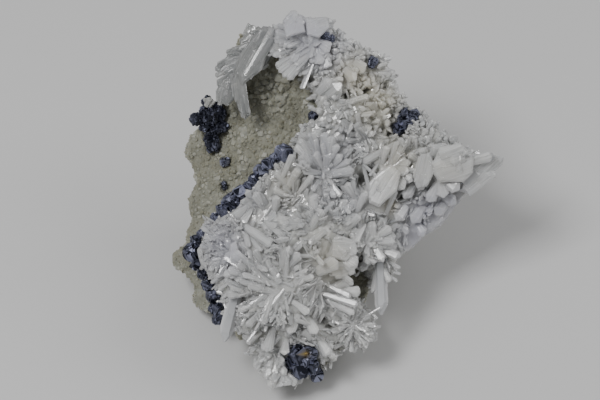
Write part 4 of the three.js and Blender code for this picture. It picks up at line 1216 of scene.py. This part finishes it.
def build_galena(node_name):
    look = GALENA_LOOKS.get(node_name, COMMON_GALENA_LOOK)
    return joined(node_name + "_growth", galena_growth(GALENA[node_name], *look))


# Looks. Sockets of a colour mix node are known by number.
MIX_FACTOR, MIX_LOW, MIX_HIGH = 0, 6, 7
MIX_RESULT = 2
QUARTZ_IOR = 1.544


class Look:
    """A material and its nodes. A value may be a number, a colour or another node's socket."""

    def __init__(self, name):
        self.material = bpy.data.materials.new(name)
        self.material.use_nodes = True
        self.nodes = self.material.node_tree.nodes
        self.shader = self.nodes["Principled BSDF"]

    def plug(self, socket, value):
        if isinstance(value, bpy.types.NodeSocket):
            self.material.node_tree.links.new(value, socket)
        else:
            socket.default_value = value

    def node(self, kind, **inputs):
        made = self.nodes.new("ShaderNode" + kind)
        for name, value in inputs.items():
            self.plug(made.inputs[name], value)
        return made

    def shade(self, inputs):
        """Set the shader's inputs by name."""
        for name, value in inputs.items():
            self.plug(self.shader.inputs[name], value)

    def mix(self, factor, low, high, mode="MIX"):
        made = self.nodes.new("ShaderNodeMix")
        made.data_type, made.blend_type = "RGBA", mode
        low, high = ((*value, 1) if isinstance(value, tuple) else value for value in (low, high))
        for number, value in ((MIX_FACTOR, factor), (MIX_LOW, low), (MIX_HIGH, high)):
            self.plug(made.inputs[number], value)
        return made.outputs[MIX_RESULT]

    def ramp(self, source, *stops):
        """A grey ramp over (position, value) stops."""
        made = self.node("ValToRGB", Fac=source)
        elements = made.color_ramp.elements
        while len(elements) < len(stops):
            elements.new(0.5)
        for element, (position, value) in zip(elements, stops):
            element.position = position
            element.color = (value, value, value, 1)
        return made.outputs["Color"]

    def cloud(self, scale, detail=3.0):
        """Noise over the piece, scale to a millimetre."""
        source = self.node("TexCoord").outputs["Object"]
        place = self.node("Mapping", Vector=source, Scale=(scale / MM,) * 3).outputs["Vector"]
        return self.node("TexNoise", Vector=place, Scale=1.0, Detail=detail).outputs["Fac"]

    def attribute(self, name):
        made = self.nodes.new("ShaderNodeAttribute")
        made.attribute_name = name
        return made.outputs["Fac"]

    def maths(self, operation, *values):
        made = self.nodes.new("ShaderNodeMath")
        made.operation = operation
        for socket, value in zip(made.inputs, values):
            self.plug(socket, value)
        return made.outputs[0]

    def bump(self, height, strength, distance):
        made = self.node("Bump", Height=height, Strength=strength, Distance=distance)
        self.shade({"Normal": made.outputs["Normal"]})


# Stains of the quartz, and the painted shade in its openings, each named as the mark that places it; dark
# holds both the painted shade and real dark specks.
STAINS_AND_PIT_SHADE = {
    "white": (0.93, 0.93, 0.91), "warm": (0.74, 0.68, 0.51), "cool": (0.60, 0.60, 0.67),
    "dark": (0.09, 0.09, 0.07),
}


def quartz_material(name, milky, clear, see_through):
    """Milky to clear by each crystal's tone, with streaks along it, painted shade at its foot and on the
    crust between crystals, a painted highlight along its edges, stains, and painted shade in the openings.
    """
    look = Look(name)
    tone, along, side = look.attribute("tone"), look.attribute("along"), look.attribute("side")
    wide, seed = look.attribute("wide"), look.attribute("seed")
    cloud, fine = look.cloud(0.25, 4.0), look.cloud(1.3)
    clearness = look.maths("ADD", tone, look.maths("MULTIPLY", cloud, 0.6))
    clearness = look.maths("SUBTRACT", clearness, 0.3)
    colour = look.mix(look.ramp(clearness, (0.1, 0.0), (0.9, 1.0)), milky, clear)
    # Painted shade: each crystal is darker towards its foot, where it stands among the others.
    colour = look.mix(1.0, colour, look.ramp(along, (0.0, 0.86), (0.35, 0.96), (1.0, 1.0)), "MULTIPLY")
    place = look.node(
        "CombineXYZ", X=look.maths("MULTIPLY", look.maths("MULTIPLY", side, wide), 1.5),
        Y=look.maths("MULTIPLY", along, 0.8), Z=look.maths("MULTIPLY", seed, 60.0),
    )
    streaks = look.node("TexNoise", Vector=place.outputs[0], Scale=1.0, Detail=3.0).outputs["Fac"]
    colour = look.mix(1.0, colour, look.ramp(streaks, (0.3, 0.8), (0.5, 1.0), (0.7, 1.14)), "MULTIPLY")
    # Painted highlight: the colour lightens to near white towards the long edges of each crystal.
    rim = look.ramp(look.maths("ABSOLUTE", side), (0.75, 0.0), (1.0, 0.5))
    colour = look.mix(rim, colour, (0.94, 0.94, 0.93))
    # Painted shade: the crust's own faces, between the crystals, get a darker grey that varies by cloud.
    between = look.mix(look.ramp(cloud, (0.35, 0.0), (0.65, 1.0)), (0.52, 0.52, 0.50), (0.72, 0.72, 0.69))
    colour = look.mix(look.maths("LESS_THAN", tone, GAP_SHADE_MARK / 2), colour, between)
    # The dark mark paints shade into the openings and also carries the real dark specks.
    for stain_and_shade_mark, stain_and_shade_colour in STAINS_AND_PIT_SHADE.items():
        colour = look.mix(look.attribute(stain_and_shade_mark), colour, stain_and_shade_colour)
    look.shade({
        "Base Color": colour, "Roughness": look.ramp(fine, (0.3, 0.08), (0.75, 0.3)), "IOR": QUARTZ_IOR,
        "Subsurface Weight": 0.9, "Subsurface Radius": (1.0, 0.98, 0.95), "Subsurface Scale": 0.0024,
        "Coat Weight": 0.6, "Coat Roughness": 0.04, "Transmission Weight": see_through,
    })
    look.bump(look.maths("ADD", streaks, fine), 0.35, 0.00025)
    return look.material


def clear_quartz_material():
    """The hanging prisms: milkier towards the tip, with painted highlights along the edges."""
    look = Look("clear_quartz")
    milk = look.ramp(look.attribute("along"), (0.2, 0.0), (0.9, 1.0))
    # Painted highlight: the colour lightens to near white towards the edges of the prism.
    rim = look.ramp(look.maths("ABSOLUTE", look.attribute("side")), (0.55, 0.0), (1.0, 0.9))
    colour = look.mix(milk, (0.62, 0.63, 0.65), (0.78, 0.79, 0.81))
    fine = look.cloud(0.9)
    look.shade({
        "Base Color": look.mix(rim, colour, (0.96, 0.96, 0.97)), "IOR": QUARTZ_IOR,
        "Transmission Weight": 0.4, "Roughness": look.ramp(fine, (0.3, 0.04), (0.75, 0.18)),
    })
    look.bump(fine, 0.15, 0.0002)
    return look.material


def rock_material():
    """Pale sandy rock, lighter and darker by grain, with painted shade in the pits and the low parts."""
    look = Look("pale_rock")
    tone, fine = look.attribute("tone"), look.cloud(2.2)
    cloudy = look.ramp(look.cloud(0.4, 4.0), (0.3, 0.0), (0.7, 1.0))
    colour = look.mix(cloudy, (0.20, 0.20, 0.152), (0.30, 0.30, 0.25))
    for amount, shade in (
        (look.ramp(look.cloud(0.09, 4.0), (0.42, 0.0), (0.62, 0.5)), (0.20, 0.19, 0.13)),
        (look.ramp(tone, (0.45, 0.0), (1.0, 0.85)), (0.42, 0.42, 0.37)),
        (look.ramp(tone, (0.0, 0.5), (0.3, 0.0)), (0.17, 0.165, 0.12)),
        # Painted shade: dark olive in the rock's low parts and pits.
        (look.attribute("low"), (0.085, 0.08, 0.045)),
        (look.ramp(fine, (0.35, 0.0), (0.7, 0.35)), (0.38, 0.38, 0.335)),
    ):
        colour = look.mix(amount, colour, shade)
    look.shade({
        "Base Color": colour, "Roughness": look.ramp(fine, (0.3, 0.45), (0.7, 0.8)),
        "Subsurface Weight": 0.6, "Subsurface Scale": 0.0014, "Subsurface Radius": (1.0, 0.9, 0.7),
    })
    look.bump(fine, 0.5, 0.0003)
    return look.material


def galena_material():
    """Dark blue-grey metal, bright and dull by face and patch, with a touch of brass."""
    look = Look("galena_metal")
    tone, fine = look.attribute("tone"), look.cloud(2.5, 4.0)
    mixed = look.maths("MULTIPLY", look.maths("ADD", tone, look.cloud(0.35, 4.0)), 0.5)
    colour = look.mix(look.ramp(mixed, (0.38, 0.0), (0.7, 1.0)), (0.028, 0.031, 0.045), (0.32, 0.335, 0.45))
    colour = look.mix(look.ramp(fine, (0.55, 0.0), (0.8, 0.5)), colour, (0.015, 0.015, 0.02))
    colour = look.mix(look.attribute("brass"), colour, (0.42, 0.32, 0.12))
    dullness = look.ramp(look.maths("ADD", fine, tone), (0.5, 0.18), (1.2, 0.55))
    look.shade({"Base Color": colour, "Metallic": 0.9, "Roughness": dullness})
    look.bump(fine, 0.3, 0.00025)
    return look.material


def add_attribute(made, name, values):
    add_mark(made, name, "POINT", np.clip(values, 0, 1))


def patches(points, rows):
    """Soft patches: x, y, reach and strength on the face."""
    total = np.zeros(len(points))
    for x, y, reach, strength in rows:
        total += strength * np.exp(-((points[:, 0] - x) ** 2 + (points[:, 1] - y) ** 2) / (2 * reach**2))
    return total


WARM_PATCHES = [
    (-17, 6, 4, 0.35), (17, -2, 1.4, 0.9), (4, 42, 4, 0.5), (10, 30, 4, 0.35), (20, 13, 3.5, 0.45),
    (17, 24, 4, 0.3), (10, 38, 4, 0.3), (-3, -24, 4, 0.3), (16, 33, 3, 0.3), (-6, -16, 4, 0.2),
    (36, 8, 4, 0.2),
]
COOL_PATCHES = [
    (-40, -13, 5, 0.7), (-38, -20, 5, 0.4), (30, -8, 6, 0.5), (24, -14, 4, 0.6), (38, -1, 5, 0.5),
    (-28, 0, 5, 0.2), (26, -2, 4, 0.4), (-5, 14, 5, 0.5), (-6, 2, 4, 0.3), (5, 0, 4, 0.3),
    (-16, 58, 5, 0.5), (-7, 51, 6, 0.6), (2, 20, 3, 0.2),
]
WHITE_PATCHES = [
    (-19, -30, 8, 0.5), (4, -41.5, 4.5, 0.7), (10, -14, 3, 0.3), (-39, -14, 4, 0.3), (-7, -42, 4, 0.3),
    (-32, -6, 3, 0.25), (31, 9, 4, 0.2), (-7, -42, 3, 0.3),
]


def finish_piece(made, material, nodes_replaced):
    """Bring a piece from the face into the part, inside its box, with its look, attached to the root body,
    and with the parts it replaces hidden.
    """
    to_part(made)
    set_coordinates(made, coordinates(made).clip(np.array(BOX_LOW), np.array(BOX_HIGH)))
    made.data.materials.clear()
    made.data.materials.append(material)
    for polygon in made.data.polygons:
        polygon.use_smooth = False
    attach(made, "root")
    if nodes_replaced:
        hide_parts(*nodes_replaced)


BROWN_STAINS = [(-3.6, -54.4, 0.8, 0.8), (-2.2, -52.8, 0.6, 0.7), (-5.4, -56, 0.6, 0.6)]
BRASS_PATCHES = [(-11.5, -51, 0.7, 1.0)]
# Spots of painted shade where the rock has pits: x, y, reach and strength on the face.
ROCK_PIT_SHADE = [
    (-30, 38, 2.0, 0.6), (-18, 38, 1.6, 0.7), (-48, 6, 8, 0.14), (-47, -9, 6, 0.14), (-19, 47, 2.5, 1.0),
    (6, -26, 3, 0.6), (-26, 30, 4, 0.25), (-19, 31, 3, 0.3), (-14, 27, 2.5, 0.3), (-34, 44, 3, 0.4),
]


def quartz_attributes(made):
    points = coordinates(made)
    for name, rows in (("warm", WARM_PATCHES), ("cool", COOL_PATCHES), ("white", WHITE_PATCHES)):
        add_attribute(made, name, patches(points, rows))
    below = height_at(CRUST_SPOTS, points[:, 0], points[:, 1]) - points[:, 2]
    # Painted shade: the openings turn near black where they lie below the crust's heights; the brown stains
    # add real dark specks.
    pits = patches(points, [(x, y, radius * 0.8, 0.9) for x, y, radius, _ in OPENINGS])
    add_attribute(made, "dark", pits * np.clip(below / 1.5, 0, 1) + patches(points, BROWN_STAINS))


def rock_attributes(made):
    points = coordinates(made)
    below = height_at(ROCK_SPOTS, points[:, 0], points[:, 1]) - points[:, 2]
    inside = depth_inside(ROCK_OUTLINE, points[:, 0], points[:, 1]) > 1
    # Painted shade: darker where the rock lies below its spot heights inside its outline, and at the pits.
    add_attribute(made, "low", np.clip(below / 3.5, 0, 0.4) * inside + patches(points, ROCK_PIT_SHADE))


quartz = quartz_material("milky_quartz", (0.80, 0.80, 0.78), (0.62, 0.63, 0.64), 0.3)
grey_quartz = quartz_material("grey_quartz", (0.54, 0.54, 0.52), (0.30, 0.31, 0.31), 0.35)
rock_look = rock_material()
galena_look = galena_material()

for crust_piece in build_crust():
    quartz_attributes(crust_piece)
    replaced = ["quartz_crust"] if crust_piece.name == "quartz_crust_growth" else []
    finish_piece(crust_piece, quartz, replaced)

blade_piece = build_blades()
quartz_attributes(blade_piece)
finish_piece(blade_piece, grey_quartz, ["quartz_tall_blades"])

clear_look = clear_quartz_material()
for name, (foot, tip, width) in zip(("prism_left", "prism_right"), HANGING_PRISMS):
    prism = new_object(name, crystal(foot, tip, width, 0.85, foot_share=0.9, tone=0.6, pointed=1.7))
    bpy.context.scene.collection.objects.link(prism)
    finish_piece(prism, clear_look, [])

rock_piece = build_rock()
rock_attributes(rock_piece)
finish_piece(rock_piece, rock_look, ["host_rock"])

for galena_node in GALENA:
    galena_piece = build_galena(galena_node)
    add_attribute(galena_piece, "brass", patches(coordinates(galena_piece), BRASS_PATCHES))
    finish_piece(galena_piece, galena_look, [galena_node])

# Floor, lights and camera.
FLOOR_HALF = 4  # metres
floor_mesh = bpy.data.meshes.new("floor")
floor_corners = [(x * FLOOR_HALF, y * FLOOR_HALF, 0) for x, y in ((-1, -1), (1, -1), (1, 1), (-1, 1))]
floor_mesh.from_pydata(floor_corners, [], [(0, 1, 2, 3)])
floor = bpy.data.objects.new("floor", floor_mesh)
bpy.context.scene.collection.objects.link(floor)
floor_look = Look("floor_paper")
floor_look.shade({"Base Color": (0.60, 0.60, 0.60, 1), "Roughness": 0.9})
floor_mesh.materials.append(floor_look.material)
floor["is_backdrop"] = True

world = bpy.data.worlds.new("studio")
bpy.context.scene.world = world
world.use_nodes = True
world.node_tree.nodes["Background"].inputs["Color"].default_value = (1, 1, 1, 1)
world.node_tree.nodes["Background"].inputs["Strength"].default_value = 0.34


LIGHT_TARGET = Vector((0.01, 0, 0.04))


def area_light(name, place, energy, size):
    data = bpy.data.lights.new(name, "AREA")
    data.energy, data.size = energy, size
    made = bpy.data.objects.new(name, data)
    made.location = place
    made.rotation_mode = "QUATERNION"
    made.rotation_quaternion = (LIGHT_TARGET - Vector(place)).to_track_quat("-Z", "Y")
    bpy.context.scene.collection.objects.link(made)


area_light("key", (-0.36, -0.24, 0.8), 5.4, 0.3)
area_light("fill", (0.6, 0.1, 0.55), 2.0, 0.5)

camera_data = bpy.data.cameras.new("camera")
camera_data.lens = 250
camera_data.sensor_width = 36
camera_data.clip_end = 20
camera = bpy.data.objects.new("camera", camera_data)
bpy.context.scene.collection.objects.link(camera)
PICTURE_CENTRE = Vector((-13.33, 0, 0))
PICTURE_WIDTH = 200.0  # mm of the face that the picture spans
distance = PICTURE_WIDTH * camera_data.lens / camera_data.sensor_width
eye = FACE @ (PICTURE_CENTRE + Vector((0, 0, distance)))
camera.matrix_world = Matrix.Translation(eye * MM) @ Matrix.Rotation(FACE_LEAN, 4, "X")
bpy.context.scene.camera = camera
